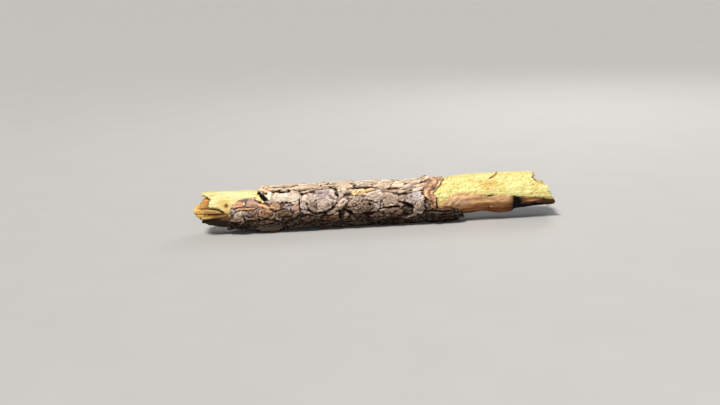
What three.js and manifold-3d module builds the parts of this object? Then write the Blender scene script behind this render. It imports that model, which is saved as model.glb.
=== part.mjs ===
// A broken pine stick, lying on the ground: a wood core torn off at both ends, a sleeve of scaly
// outer bark round its middle, and a skin of brown inner bark left under its bare right end.
//
// Millimetres. X runs along the stick from its left tip to its right tip, and Z is up. Angles
// round the stick start at the viewer's side (-Y): 90 is the top, 180 the back, -90 the underside.
import * as THREE from "three";
import { mergeVertices } from "three/addons/utils/BufferGeometryUtils.js";
import Module from "manifold-3d";

const wasm = await Module();
wasm.setup();

// Driving dimensions
const stickLength = 320;
const gap = 0.3; // between one layer and the next
const core = {
  radius: 16.4,
  swell: 0.6, // extra radius of the bare right end
  axisHeight: 20.3, // height of the axis in the middle of the stick
  leftRise: 1.4, // how much higher the axis is at the left end
  rightRise: 3.7, // and at the right end, where the stick bends up
  back: 0.8, // how far back the axis lies
  sway: 0.9, // its sideways wander
};
const barkThickness = 2; // the sleeve that the scales stand on
const rootDepth = 1.1; // how deep a scale is rooted in it
const innerBarkThickness = 1.0;
const knot = { x: 112, around: -72, long: 11, wide: 34, rise: 1.4, cutAt: 123 };
const chip = { from: -134, to: -154, around: -84, wide: 62, depth: 3.2 };

// Left tear: each splinter is a patch of the cross section (front, up, and its half sizes) that
// ends so many millimetres short of the left tip. Anything outside them ends at the root.
const leftRoot = 15.5;
const leftSplinters = [
  { front: 2, up: 0, wide: 9.5, tall: 3.4, short: 0 },
  { front: 1, up: 3.6, wide: 9.5, tall: 3.2, short: 5 },
  { front: 0, up: 6.6, wide: 10, tall: 2.6, short: 8.5 },
  { front: 0, up: 16.4, wide: 11, tall: 2.3, short: 7 },
  { front: 14.5, up: 4.5, wide: 3.4, tall: 6, short: 11.5 },
  { front: 9, up: -6, wide: 7, tall: 2.4, short: 7 },
  { front: 8, up: -9.6, wide: 8, tall: 1.9, short: 5.6 },
  { front: 2, up: -13, wide: 9, tall: 2, short: 11 },
  { front: -11, up: 2, wide: 4, tall: 6, short: 6 },
  { front: -8, up: -8, wide: 5, tall: 3, short: 10 },
];
const splinterSteepness = 14;

// Right tear, from the top of the section to its bottom: [height above the axis, how far short
// of the right tip the wood ends there].
const rightTear = [
  [17.5, 17.5],
  [12.6, 16.5],
  [10.6, 20],
  [8.4, 18],
  [4.6, 12.5],
  [3.8, 5.6],
  [-1, 6],
  [-4, 3.8],
  [-6.4, 2.2],
  [-13.4, 0],
  [-17.5, 1.5],
];
const rightHollow = { depth: 5, from: 13, to: 4 }; // the torn face sinks behind its front edge

// Where the sleeve of bark ends: [angle round the stick, x].
const barkLeftEdge = [
  [-90, -133],
  [-60, -132],
  [-23, -130],
  [2, -127],
  [19, -126],
  [30, -122],
  [50, -111],
  [73, -103],
  [104, -100],
  [135, -106],
  [165, -116],
  [200, -109],
  [235, -122],
  [270, -133],
];
const barkRightEdge = [
  [-90, 78],
  [-50, 77],
  [-34, 73],
  [-22, 60],
  [4, 57],
  [20, 54],
  [31, 51],
  [53, 54],
  [70, 57],
  [104, 56],
  [130, 50],
  [160, 55],
  [190, 61],
  [225, 62],
  [250, 72],
  [270, 78],
];

// The front upper edge of the inner bark: [x, angle round the stick].
const innerBarkEdge = [
  [40, -34],
  [58, -23],
  [67, -10],
  [76, 20],
  [94, 8],
  [106, 9],
  [116, 1],
  [155, -7],
  [160, -20],
];
const innerBarkBackEdge = -158;
const innerBarkStart = 54;

// Bark scales that show: x, angle round, half length, half width, turn in degrees, rise above the
// sleeve, lift towards the right end, lift towards the top.
const shownScales = [
  [-76, 44, 15, 8.5, 4, 2.15, 0, 0.3],
  [-72, 84, 29, 7.5, -1, 1.95, 0.2, 0],
  [-42, 97, 13, 3.2, 8, 2.35, 1.6, 0],
  [-62, 22, 5.2, 9, -6, 1.95, 0, 0.2],
  [-51, 9, 7.6, 8, 4, 2.35, 0, -0.8],
  [-38, 14, 9, 7.4, 24, 2.55, 0.3, -0.9],
  [-42, 50, 13, 6.4, 10, 2.05, 0.4, 0],
  [-28, 78, 12, 7, 6, 2.05, 1.3, 0],
  [-13, 43, 8, 5, -10, 1.15, 0, 0],
  [-3, 82, 13.5, 6.4, 0, 1.85, 0, 0.2],
  [9, 58, 9, 6, 3, 1.75, 0.4, 0],
  [-7, 15, 13.5, 7.2, 12, 2.05, 0, 0],
  [17, 17, 10, 7.4, 8, 2.35, 0, -0.5],
  [15, -21, 10, 5.4, 4, 1.95, 0, 0.3],
  [-12, -18, 11, 6, -6, 1.75, 0, 0],
  [39, 70, 12.5, 7.4, 10, 1.75, 1.2, 0],
  [40, 43, 5.4, 2.4, 6, 1.95, 0, -0.6],
  [34, 16, 9.4, 9.6, 20, 2.05, 0, 0],
  [38, -19, 7.4, 4.6, -38, 1.95, 0, -0.4],
  [64, -50, 15, 7.5, 5, 1.9, 0.8, 0],
  [-98, 80, 4.6, 5, 20, 2.35, -0.5, 0],
  [-91, 60, 4.6, 5.4, 0, 2.25, -0.4, 0],
  [-84, 22, 6, 6, 0, 1.75, 0, 0],
  [-120, 28, 6.6, 4.4, 14, 1.15, 0, 0],
  [-110, 30, 5.6, 5.6, 0, 1.35, 0, 0],
  [-119, -9, 7.4, 8.4, 0, 1.75, -0.3, 0],
  [-106, 4, 7, 5, -8, 1.45, 0, 0],
  [-94, -2, 7, 6, 10, 1.75, 0, 0],
  [-79, -6, 7.6, 6, -5, 1.65, 0, 0],
  [-100, -36, 13, 7, -4, 1.85, 0, 0],
];

// Scales that the stick lies on, in the same order.
const restingScales = [
  [-100, -84, 20, 11, 2, 3.5, 0, 0],
  [-62, -93, 20, 10, 3, 2.7, 0, 0],
  [-22, -86, 20, 10.5, -4, 2.6, 0, 0],
  [20, -93, 20, 11, 3, 2.7, 0, 0],
  [60, -90, 17, 11, 3, 2.8, 0, 0],
];

// Scales of the back, set out in rows and jittered.
const backScales = { from: 124, to: 244, rows: 4, columns: 7, firstX: -110, lastX: 50 };

// The hole beside the bark's top left corner, where a twig broke out.
const twigHole = { x: -96, around: 47, long: 8.5, wide: 3, deep: 5, turn: -48 };

// Small splinter that stands up from the bare wood near the right end.
const snag = { x: 106, around: 82, long: 6.5, wide: 1.7, turn: 60, rise: 0.8, lift: 1.1, liftUp: 0 };

// Facets
const columns = 32;
const stations = [-134, -100, -60, -25, 10, 34, 44, 54, 64, 69, 75, 86, 98, 104, 112, 122.8, 123.2, 136];
const sleeveRings = 9;
const innerBarkRows = 14;
const outlinePoints = 9;

const degree = Math.PI / 180;
const leftTip = -stickLength / 2;
const rightTip = stickLength / 2;
const barkRadius = core.radius + barkThickness;

function smooth(from, to, value) {
  const t = THREE.MathUtils.clamp((value - from) / (to - from), 0, 1);
  return t * t * (3 - 2 * t);
}

// Straight-line reading of a list of [place, value] points, in rising or falling order.
function along(points, place) {
  const rising = points[0][0] < points[points.length - 1][0];
  const list = rising ? points : [...points].reverse();
  if (place <= list[0][0]) return list[0][1];
  for (let i = 1; i < list.length; i++) {
    const [a, b] = [list[i - 1], list[i]];
    if (place <= b[0]) return a[1] + ((b[1] - a[1]) * (place - a[0])) / (b[0] - a[0]);
  }
  return list[list.length - 1][1];
}

// An angle round the stick, from -90 to 270.
function wrapped(around) {
  return ((((around + 90) % 360) + 360) % 360) - 90;
}

// A repeatable row of random numbers from 0 to 1.
function randomRow(seed) {
  let state = seed;
  return () => {
    state = (state * 1103515245 + 12345) % 2147483648;
    return state / 2147483648;
  };
}

function axisHeight(x) {
  return (
    core.axisHeight +
    core.leftRise * smooth(-60, -150, x) +
    core.rightRise * smooth(34, 86, x)
  );
}

function axisDepth(x) {
  return core.back + core.sway * Math.sin(x / 55);
}

// How near an angle is to another: 1 at it, 0 from so many degrees away.
function near(around, centre, wide) {
  const off = Math.abs(wrapped(around - centre + 90) - 90);
  return 1 - smooth(0, wide, Math.min(off, 360 - off));
}

function woodRadius(x, around) {
  const oval = 0.35 * Math.cos(2 * (around - 20) * degree);
  const bulge =
    x > knot.cutAt
      ? 0
      : knot.rise *
        near(around, knot.around, knot.wide) *
        smooth(knot.x - knot.long, knot.x, x);
  const chipped =
    chip.depth * smooth(chip.from, chip.to, x) * near(around, chip.around, chip.wide);
  return core.radius + core.swell * smooth(40, 90, x) + oval + bulge - chipped;
}

function sleeveRadius(x, around) {
  const a = around * degree;
  const lumps =
    0.35 * Math.sin(x / 9 + 2 * a) + 0.3 * Math.sin(3 * a - x / 14) + 0.2 * Math.sin(x / 5 - a);
  const front = near(around, 45, 95);
  const thin = 1.1 * smooth(40, 48, x) * front + 0.6 * smooth(-100, -110, x) * front;
  const overInnerBark = 1.8 * smooth(44, 54, x) * near(around, -70, 90);
  return woodRadius(x, around) + barkThickness + lumps - thin + overInnerBark;
}

function pointAt(x, around, radius) {
  const a = around * degree;
  return new THREE.Vector3(
    x,
    axisDepth(x) - radius * Math.cos(a),
    axisHeight(x) + radius * Math.sin(a),
  );
}

function leftShort(front, up) {
  return leftSplinters.reduce((least, s) => {
    const off = Math.hypot((front - s.front) / s.wide, (up - s.up) / s.tall);
    return Math.min(least, s.short + splinterSteepness * Math.max(0, off - 1));
  }, leftRoot);
}

function rightShort(front, up) {
  const ragged = 1.2 * Math.sin(front * 0.9 + up * 0.5);
  const hollow = rightHollow.depth * smooth(rightHollow.from, rightHollow.to, front);
  return Math.max(0, along(rightTear, up) + hollow + (front < rightHollow.from ? ragged : 0));
}

// A closed geometry from rings of points that are joined into a tube, with a point closing each end.
function tube(rings, firstEnd, lastEnd) {
  const n = rings[0].length;
  const points = [firstEnd, ...rings.flat(), lastEnd];
  const last = points.length - 1;
  const at = (ring, k) => 1 + ring * n + (k % n);
  const faces = [];
  for (let k = 0; k < n; k++) {
    faces.push(0, at(0, k), at(0, k + 1));
    for (let ring = 0; ring + 1 < rings.length; ring++) {
      faces.push(at(ring, k), at(ring + 1, k), at(ring + 1, k + 1));
      faces.push(at(ring, k), at(ring + 1, k + 1), at(ring, k + 1));
    }
    faces.push(last, at(rings.length - 1, k + 1), at(rings.length - 1, k));
  }
  return new THREE.BufferGeometry().setFromPoints(points).setIndex(faces);
}

function solidOf(geometry) {
  const bare = new THREE.BufferGeometry();
  bare.setAttribute("position", geometry.getAttribute("position"));
  if (geometry.index) bare.setIndex(geometry.index);
  const merged = mergeVertices(bare, 1e-4);
  const mesh = new wasm.Mesh({
    numProp: 3,
    vertProperties: new Float32Array(merged.attributes.position.array),
    triVerts: new Uint32Array(merged.index.array),
  });
  return new wasm.Manifold(mesh);
}

function geometryOf(solid) {
  const mesh = solid.getMesh();
  const geometry = new THREE.BufferGeometry();
  const positions = new Float32Array(mesh.numVert * 3);
  for (let i = 0; i < mesh.numVert; i++) {
    const from = i * mesh.numProp;
    positions.set(mesh.vertProperties.subarray(from, from + 3), i * 3);
  }
  geometry.setAttribute("position", new THREE.BufferAttribute(positions, 3));
  geometry.setIndex(new THREE.BufferAttribute(mesh.triVerts, 1));
  geometry.computeVertexNormals();
  return geometry;
}

function angles(count) {
  return Array.from({ length: count }, (_, k) => (360 * k) / count - 90);
}

// The wood core: a round pole with a torn face of splinters at each end.
function woodSolid() {
  const faceRings = [0.25, 0.5, 0.72, 0.9];
  const endAt = (around, share, left) => {
    const x = left ? leftTip + 12 : rightTip - 8;
    const radius = woodRadius(x, around) * share;
    const front = radius * Math.cos(around * degree);
    const up = radius * Math.sin(around * degree);
    return left ? leftTip + leftShort(front, up) : rightTip - rightShort(front, up);
  };
  const facePoint = (around, share, left) => {
    const x = endAt(around, share, left);
    return pointAt(x, around, woodRadius(x, around) * share);
  };
  const face = (left) => faceRings.map((share) => angles(columns).map((a) => facePoint(a, share, left)));
  const between = (share, left) =>
    angles(columns).map((a) => {
      const inner = left ? stations[0] : stations[stations.length - 1];
      const x = THREE.MathUtils.lerp(endAt(a, 1, left), inner, share);
      return pointAt(x, a, woodRadius(x, a));
    });
  const straight = stations.map((x) => angles(columns).map((a) => pointAt(x, a, woodRadius(x, a))));
  const side = [
    ...[0, 0.35, 0.7].map((share) => between(share, true)),
    ...straight,
    ...[0.5, 0].map((share) => between(share, false)),
  ];
  const rings = [...face(true), ...side, ...face(false).reverse()];
  const wood = solidOf(tube(rings, facePoint(0, 0, true), facePoint(0, 0, false)));
  return wood.add(scaleSolid(snag, woodRadius, 7));
}

// A scale of bark, or a splinter: a slab with a ragged outline that follows the stick's surface
// and is rooted in it.
function scaleSolid(scale, surface, seed) {
  const random = randomRow(seed * 7919 + 17);
  const turn = scale.turn * degree;
  const reach = Array.from({ length: outlinePoints }, (_, k) => {
    const t = (-2 * Math.PI * k) / outlinePoints;
    const square = Math.pow(Math.abs(Math.cos(t)) ** 2.8 + Math.abs(Math.sin(t)) ** 2.8, -1 / 2.8);
    return square * (0.84 + 0.26 * random());
  });
  const at = (k, share, height) => {
    const t = (-2 * Math.PI * k) / outlinePoints;
    const p = share * reach[k] * Math.cos(t);
    const q = share * reach[k] * Math.sin(t);
    const dx = scale.long * p * Math.cos(turn) - scale.wide * q * Math.sin(turn);
    const dw = scale.long * p * Math.sin(turn) + scale.wide * q * Math.cos(turn);
    const x = scale.x + dx;
    const around = scale.around + dw / barkRadius / degree;
    const tilt = height > 0 ? scale.lift * p + scale.liftUp * q : 0;
    return pointAt(x, around, surface(x, around) + height + tilt);
  };
  const ring = (share, height) => reach.map((_, k) => at(k, share, height));
  const rings = [ring(0.9, -rootDepth), ring(1, scale.rise - 0.3)];
  return solidOf(tube(rings, at(0, 0, -rootDepth), at(0, 0, scale.rise)));
}

function listedScale([x, around, long, wide, turn, rise, lift, liftUp]) {
  return { x, around, long, wide, turn, rise, lift, liftUp };
}

function backScaleList() {
  const random = randomRow(2026);
  const list = [];
  const stepX = (backScales.lastX - backScales.firstX) / (backScales.columns - 1);
  const stepAround = (backScales.to - backScales.from) / (backScales.rows - 1);
  for (let row = 0; row < backScales.rows; row++) {
    for (let column = 0; column < backScales.columns; column++) {
      const shift = row % 2 ? stepX / 2 : 0;
      list.push({
        x: backScales.firstX + column * stepX - shift + 6 * (random() - 0.5),
        around: backScales.from + row * stepAround + 9 * (random() - 0.5),
        long: 9.5 + 3.5 * random(),
        wide: 5 + 1.8 * random(),
        turn: 30 * (random() - 0.5),
        rise: 1.3 + 1.1 * random(),
        lift: 1.2 * (random() - 0.5),
        liftUp: 0.9 * (random() - 0.5),
      });
    }
  }
  return list.filter((s) => {
    const a = wrapped(s.around);
    return s.x > along(barkLeftEdge, a) + 5 && s.x < along(barkRightEdge, a) - 5;
  });
}

// The pole shape that is kept clear inside the bark: the wood, and the inner bark where it runs.
function clearanceSolid() {
  const xs = [-150, ...stations.filter((x) => x < 100)];
  const rings = xs.map((x) =>
    angles(columns).map((a) => {
      const room = x > innerBarkStart - 3 ? innerBarkCover(x, a) * (innerBarkThickness + gap) : 0;
      return pointAt(x, a, woodRadius(x, a) + gap + room);
    }),
  );
  const centre = (x) => pointAt(x, 0, 0);
  return solidOf(tube(rings, centre(xs[0]), centre(xs[xs.length - 1])));
}

// 1 where the inner bark lies, with some room round its edges, and 0 elsewhere.
function innerBarkCover(x, around) {
  const top = along(innerBarkEdge, x) + 14;
  const a = around > 180 ? around - 360 : around;
  return a < top && a > innerBarkBackEdge - 12 ? 1 : 0;
}

function barkSolid() {
  const ends = (a) => [along(barkLeftEdge, wrapped(a)), along(barkRightEdge, wrapped(a))];
  const rings = Array.from({ length: sleeveRings }, (_, i) =>
    angles(columns).map((a) => {
      const [left, right] = ends(a);
      const x = THREE.MathUtils.lerp(left, right, i / (sleeveRings - 1));
      return pointAt(x, a, sleeveRadius(x, a));
    }),
  );
  const scales = [...shownScales, ...restingScales].map(listedScale).concat(backScaleList());
  let bark = solidOf(tube(rings, pointAt(-112, 0, 0), pointAt(56, 0, 0)));
  scales.forEach((scale, i) => (bark = bark.add(scaleSolid(scale, sleeveRadius, i + 1))));
  return bark.subtract(clearanceSolid()).subtract(twigHoleSolid()).subtract(groundSolid());
}

function twigHoleSolid() {
  const geometry = new THREE.SphereGeometry(1, 12, 8);
  const centre = pointAt(twigHole.x, twigHole.around, barkRadius);
  const outwards = centre.clone().sub(pointAt(twigHole.x, 0, 0)).normalize();
  const lengthwise = new THREE.Vector3(1, 0, 0);
  const sideways = new THREE.Vector3().crossVectors(outwards, lengthwise);
  const place = new THREE.Matrix4()
    .makeBasis(lengthwise, sideways, outwards)
    .multiply(new THREE.Matrix4().makeRotationZ(twigHole.turn * degree))
    .multiply(new THREE.Matrix4().makeScale(twigHole.long, twigHole.wide, twigHole.deep))
    .setPosition(centre);
  return solidOf(geometry.applyMatrix4(place));
}

// Everything below the ground plane, which the resting scales are pressed flat against.
function groundSolid() {
  const size = 2 * stickLength;
  return solidOf(new THREE.BoxGeometry(size, size, size).translate(0, 0, -size / 2));
}

// The inner bark: a thin curved skin under the right end, open at the top.
function innerBarkSolid() {
  const shares = Array.from({ length: innerBarkRows }, (_, j) => j / (innerBarkRows - 1));
  const lastStation = stations[stations.length - 1];
  const section = (x, reach) => {
    const skin = (outside) =>
      shares.map((s) => {
        const around = THREE.MathUtils.lerp(innerBarkBackEdge, along(innerBarkEdge, x), s);
        const up = core.radius * Math.sin(around * degree);
        const end = rightTip - Math.max(1, along(rightTear, up)) - 0.5;
        const here = THREE.MathUtils.lerp(x, end, reach);
        const thickness = innerBarkThickness * (s === 0 || s === 1 ? 0.5 : 1);
        return pointAt(here, around, woodRadius(here, around) + gap + (outside ? thickness : 0));
      });
    return [...skin(true), ...skin(false).reverse()];
  };
  const starts = [innerBarkStart, ...stations.filter((x) => x > innerBarkStart)];
  const rings = [...starts.map((x) => section(x, 0)), section(lastStation, 0.5), section(lastStation, 1)];
  return solidOf(stripTube(rings));
}

// As tube, for a thin section whose ends are closed by strips from its outside to its inside.
function stripTube(rings) {
  const n = rings[0].length;
  const points = rings.flat();
  const at = (ring, k) => ring * n + (k % n);
  const faces = [];
  for (let ring = 0; ring + 1 < rings.length; ring++) {
    for (let k = 0; k < n; k++) {
      faces.push(at(ring, k), at(ring + 1, k), at(ring + 1, k + 1));
      faces.push(at(ring, k), at(ring + 1, k + 1), at(ring, k + 1));
    }
  }
  const last = rings.length - 1;
  for (let k = 0; k + 1 < n / 2; k++) {
    const [a, b, c, d] = [k, k + 1, n - 2 - k, n - 1 - k];
    faces.push(at(0, a), at(0, b), at(0, c), at(0, a), at(0, c), at(0, d));
    faces.push(at(last, a), at(last, c), at(last, b), at(last, a), at(last, d), at(last, c));
  }
  return new THREE.BufferGeometry().setFromPoints(points).setIndex(faces);
}

function piece(name, solid, color, roughness) {
  const material = new THREE.MeshStandardMaterial({ color, roughness, metalness: 0, flatShading: true });
  const mesh = new THREE.Mesh(geometryOf(solid), material);
  mesh.name = name;
  return mesh;
}

const pineStick = new THREE.Group();
pineStick.add(piece("wood", woodSolid(), "#e6d18a", 0.75));
pineStick.add(piece("bark", barkSolid(), "#8f8073", 0.95));
pineStick.add(piece("inner_bark", innerBarkSolid(), "#8a5a38", 0.8));

export default pineStick;
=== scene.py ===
# A broken pine stick: pale wood torn off at both ends, scaly bark round the middle, and a skin of
# brown inner bark under the bare right end. Sizes here are millimetres; a mesh takes metres.
import math

import bpy
import numpy as np
from mathutils import Matrix, Vector


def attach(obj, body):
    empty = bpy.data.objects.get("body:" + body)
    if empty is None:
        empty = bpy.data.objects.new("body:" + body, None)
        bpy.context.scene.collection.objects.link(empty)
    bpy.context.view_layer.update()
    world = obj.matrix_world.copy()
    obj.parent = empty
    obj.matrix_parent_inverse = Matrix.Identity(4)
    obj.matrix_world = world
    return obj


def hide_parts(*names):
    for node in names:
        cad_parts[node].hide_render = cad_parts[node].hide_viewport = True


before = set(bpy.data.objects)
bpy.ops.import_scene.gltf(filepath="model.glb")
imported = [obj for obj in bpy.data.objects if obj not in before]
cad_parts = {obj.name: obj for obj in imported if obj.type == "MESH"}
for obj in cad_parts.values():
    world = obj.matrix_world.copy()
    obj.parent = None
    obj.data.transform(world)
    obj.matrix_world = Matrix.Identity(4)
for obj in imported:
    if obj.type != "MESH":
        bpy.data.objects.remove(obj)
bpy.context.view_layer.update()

metre = 0.001  # millimetres to metres
degree = math.pi / 180
body = "root"


# Helpers for shapes: numbers that ease, angles round the stick, and roughness
# Angles are in degrees: -90 underneath, 0 towards the viewer, 90 on top, 180 at the back

def ease(start, end, value):
    t = np.clip((value - start) / (end - start), 0.0, 1.0)
    return t * t * (3 - 2 * t)


def blend(a, b, share):
    return a + (b - a) * share


def follow(points, place):
    # the value at a place, between those listed as (place, value)
    listed = sorted(points)
    return np.interp(place, [p[0] for p in listed], [p[1] for p in listed])


def turned(angle):
    # the same angle, from -180 to 180
    return (angle + 180.0) % 360.0 - 180.0


def fromBelow(angle):
    # the same angle, from -90 to 270
    return (angle + 90.0) % 360.0 - 90.0


def near(angle, centre, wide):
    # 1 at an angle, 0 once this far from it
    return 1 - ease(0.0, wide, np.abs(turned(angle - centre)))


def hump(value, wide):
    return np.exp(-((value / wide) ** 2))


def pick(random, choices):
    return choices[int(random.integers(len(choices)))]


slopes = np.array([(1, 1, 0), (-1, 1, 0), (1, -1, 0), (-1, -1, 0), (1, 0, 1), (-1, 0, 1),
                   (1, 0, -1), (-1, 0, -1), (0, 1, 1), (0, -1, 1), (0, 1, -1), (0, -1, -1)], float)


def bumps(points, size, seed=0):
    # smooth bumps of about the given size, from -1 to 1
    place = points / np.asarray(size, float)
    cell = np.floor(place).astype(np.int64)
    inside = place - cell
    share = inside ** 3 * (inside * (inside * 6 - 15) + 10)
    total = np.zeros(points.shape[:-1])
    for corner in np.ndindex(2, 2, 2):
        at = cell + corner
        mixed = (at[..., 0] * 73856093) ^ (at[..., 1] * 19349663) ^ (at[..., 2] * 83492791)
        mixed = mixed ^ (seed * 50331653)
        mixed = (mixed ^ (mixed >> 13)) * 1274126177
        slope = slopes[((mixed ^ (mixed >> 16)) & 0xFFFFFFF) % 12]
        weight = np.prod(np.where(corner, share, 1 - share), axis=-1)
        total += weight * np.sum(slope * (inside - corner), axis=-1)
    return total


def rough(points, size, seed=0, layers=4):
    # bumps with finer bumps on them
    total = np.zeros(points.shape[:-1])
    for layer in range(layers):
        total += bumps(points, np.asarray(size, float) / 2 ** layer, seed + 31 * layer) / 2 ** layer
    return total


def soften(grid, steps):
    # average over a window, closed round the second direction
    for axis in (0, 1):
        total = np.zeros_like(grid)
        for shift in range(-steps, steps + 1):
            if axis == 1:
                total += np.roll(grid, shift, axis=1)
            else:
                rows = np.clip(np.arange(grid.shape[0]) + shift, 0, grid.shape[0] - 1)
                total += grid[rows]
        grid = total / (2 * steps + 1)
    return grid


# The stick's own shape, the same as its solids have

stick = {
    "left": -160.0,
    "right": 160.0,
    "radius": 16.4,  # of the wood
    "swell": 0.6,  # more of it towards the right
    "oval": 0.35,
    "axisHeight": 20.3,  # of its middle line
    "leftRise": 1.4,  # how much higher that is at each end
    "rightRise": 3.7,
    "back": 0.8,  # how far back the middle line lies, and how far it sways from that
    "sway": 0.9,
    "gap": 0.3,  # between the wood and what lies on it
}
knot = {"x": 112.0, "around": -72.0, "long": 11.0, "wide": 34.0, "rise": 1.4, "cutAt": 123.0}
chip = {"start": -134.0, "end": -154.0, "around": -84.0, "wide": 62.0, "depth": 3.2}


def axisHeight(x):
    left = stick["leftRise"] * ease(60.0, 150.0, -x)
    return stick["axisHeight"] + left + stick["rightRise"] * ease(34.0, 86.0, x)


def axisDepth(x):
    return stick["back"] + stick["sway"] * np.sin(x / 55)


def woodRadius(x, around):
    oval = stick["oval"] * np.cos(2 * (around - 20) * degree)
    bulge = knot["rise"] * near(around, knot["around"], knot["wide"])
    bulge = bulge * ease(knot["x"] - knot["long"], knot["x"], x) * (1 - ease(-2.0, 1.0, x - knot["cutAt"]))
    chipped = chip["depth"] * ease(-chip["start"], -chip["end"], -x)
    chipped = chipped * near(around, chip["around"], chip["wide"])
    return stick["radius"] + stick["swell"] * ease(40.0, 90.0, x) + oval + bulge - chipped


def onStick(x, around, radius):
    a = around * degree
    depth = axisDepth(x) - radius * np.cos(a)
    height = axisHeight(x) + radius * np.sin(a)
    return np.stack([x, depth, height], axis=-1)


def lineOff(x, around, line, radius):
    # how far each place is from a line drawn on the stick, and how far along the line that is
    nearest, path = np.full(x.shape, 1e9), np.zeros(x.shape)
    scale = np.array([1.0, degree * radius])
    line = np.array(line, float)
    for number, (start, end) in enumerate(zip(line[:-1], line[1:])):
        span = (end - start) * scale
        off = np.stack([x - start[0], turned(around - start[1])], axis=-1) * scale
        share = np.clip(off @ span / (span @ span), 0, 1)
        distance = np.linalg.norm(off - share[..., None] * span, axis=-1)
        path = np.where(distance < nearest, (number + share) / (len(line) - 1), path)
        nearest = np.minimum(nearest, distance)
    return nearest, path


# Helpers for meshes

def selectOnly(piece):
    bpy.ops.object.select_all(action="DESELECT")
    piece.select_set(True)
    bpy.context.view_layer.objects.active = piece


def lastAdded(name):
    made = bpy.context.active_object
    made.name = name
    return made


def tidyMesh(piece):
    # close the seams and turn the faces outwards
    selectOnly(piece)
    bpy.ops.object.mode_set(mode="EDIT")
    bpy.ops.mesh.select_all(action="SELECT")
    bpy.ops.mesh.remove_doubles(threshold=1e-6)
    bpy.ops.mesh.normals_make_consistent(inside=False)
    bpy.ops.mesh.select_all(action="DESELECT")
    bpy.ops.object.mode_set(mode="OBJECT")


def rollSheet(name, points, marks):
    # a flat grid, rolled up to the points given: one row for each step along, one column round
    alongSteps, aroundSteps = points.shape[0] - 1, points.shape[1] - 1
    bpy.ops.object.select_all(action="DESELECT")
    bpy.ops.mesh.primitive_grid_add(x_subdivisions=alongSteps, y_subdivisions=aroundSteps, size=2)
    piece = lastAdded(name)
    mesh = piece.data
    mesh.name = name
    flat = np.empty(len(mesh.vertices) * 3)
    mesh.vertices.foreach_get("co", flat)
    flat = flat.reshape(-1, 3)
    row = np.rint((flat[:, 0] + 1) / 2 * alongSteps).astype(int)
    column = np.rint((flat[:, 1] + 1) / 2 * aroundSteps).astype(int)
    mesh.vertices.foreach_set("co", (points[row, column] * metre).ravel())
    for mark, values in marks.items():
        paintMark(mesh, mark, values[row, column])
    mesh.update()
    return piece


def paintMark(mesh, name, values):
    if values.ndim == 2:
        layer = mesh.attributes.new(name, "FLOAT_COLOR", "POINT")
        filled = np.concatenate([values, np.ones((len(values), 1))], axis=1)
        layer.data.foreach_set("color", filled.ravel())
    else:
        layer = mesh.attributes.new(name, "FLOAT", "POINT")
        layer.data.foreach_set("value", values)


def closeRound(grid):
    # the first column again after the last
    return np.concatenate([grid, grid[:, :1]], axis=1)


def applyModifier(piece, kind, **settings):
    selectOnly(piece)
    added = piece.modifiers.new(kind.lower(), kind)
    for key, value in settings.items():
        setattr(added, key, value)
    bpy.ops.object.modifier_apply(modifier=added.name)


def joinAll(pieces, name):
    bpy.ops.object.select_all(action="DESELECT")
    for one in pieces:
        one.select_set(True)
    bpy.context.view_layer.objects.active = pieces[0]
    bpy.ops.object.join()
    joined = lastAdded(name)
    joined.data.name = name
    return joined


def handOver(piece, finish, replaced=None):
    piece.data.materials.clear()
    piece.data.materials.append(finish)
    piece.data.polygons.foreach_set("use_smooth", [True] * len(piece.data.polygons))
    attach(piece, body)
    if replaced:
        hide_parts(replaced)
    print(piece.name, len(piece.data.vertices), "points")


class Coat:
    # colours laid on a piece in washes, one over another
    def __init__(self, shape, tints, base):
        self.tints = tints
        self.colour = np.zeros((*shape, 3)) + tints[base]

    def lay(self, name, amount):
        amount = np.clip(amount, 0, 1)[..., None]
        self.colour = blend(self.colour, self.tints[name], amount)


# Finishes: values and colours on their way through a material's nodes

def light(red, green, blue):
    # a colour as seen on a screen, made linear
    listed = [c / 255 for c in (red, green, blue)]
    return np.array([c / 12.92 if c <= 0.04045 else ((c + 0.055) / 1.055) ** 2.4 for c in listed])


class Wire:
    def __init__(self, finish, socket):
        self.finish = finish
        self.socket = socket

    def sum(self, operation, first, second=0.0, clamp=False):
        settings = {"operation": operation, "use_clamp": clamp}
        return self.finish.node("Math", settings, {0: first, 1: second})

    def __add__(self, other):
        return self.sum("ADD", self, other)

    def __sub__(self, other):
        return self.sum("SUBTRACT", self, other)

    def __mul__(self, other):
        return self.sum("MULTIPLY", self, other)

    def __rsub__(self, other):
        return self.sum("SUBTRACT", other, self)

    __radd__ = __add__
    __rmul__ = __mul__

    def kept(self):
        return self.sum("ADD", self, 0.0, clamp=True)

    def between(self, start, end):
        settings = {"interpolation_type": "SMOOTHSTEP"}
        return self.finish.node("MapRange", settings, {0: self, 1: start, 2: end})


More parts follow.
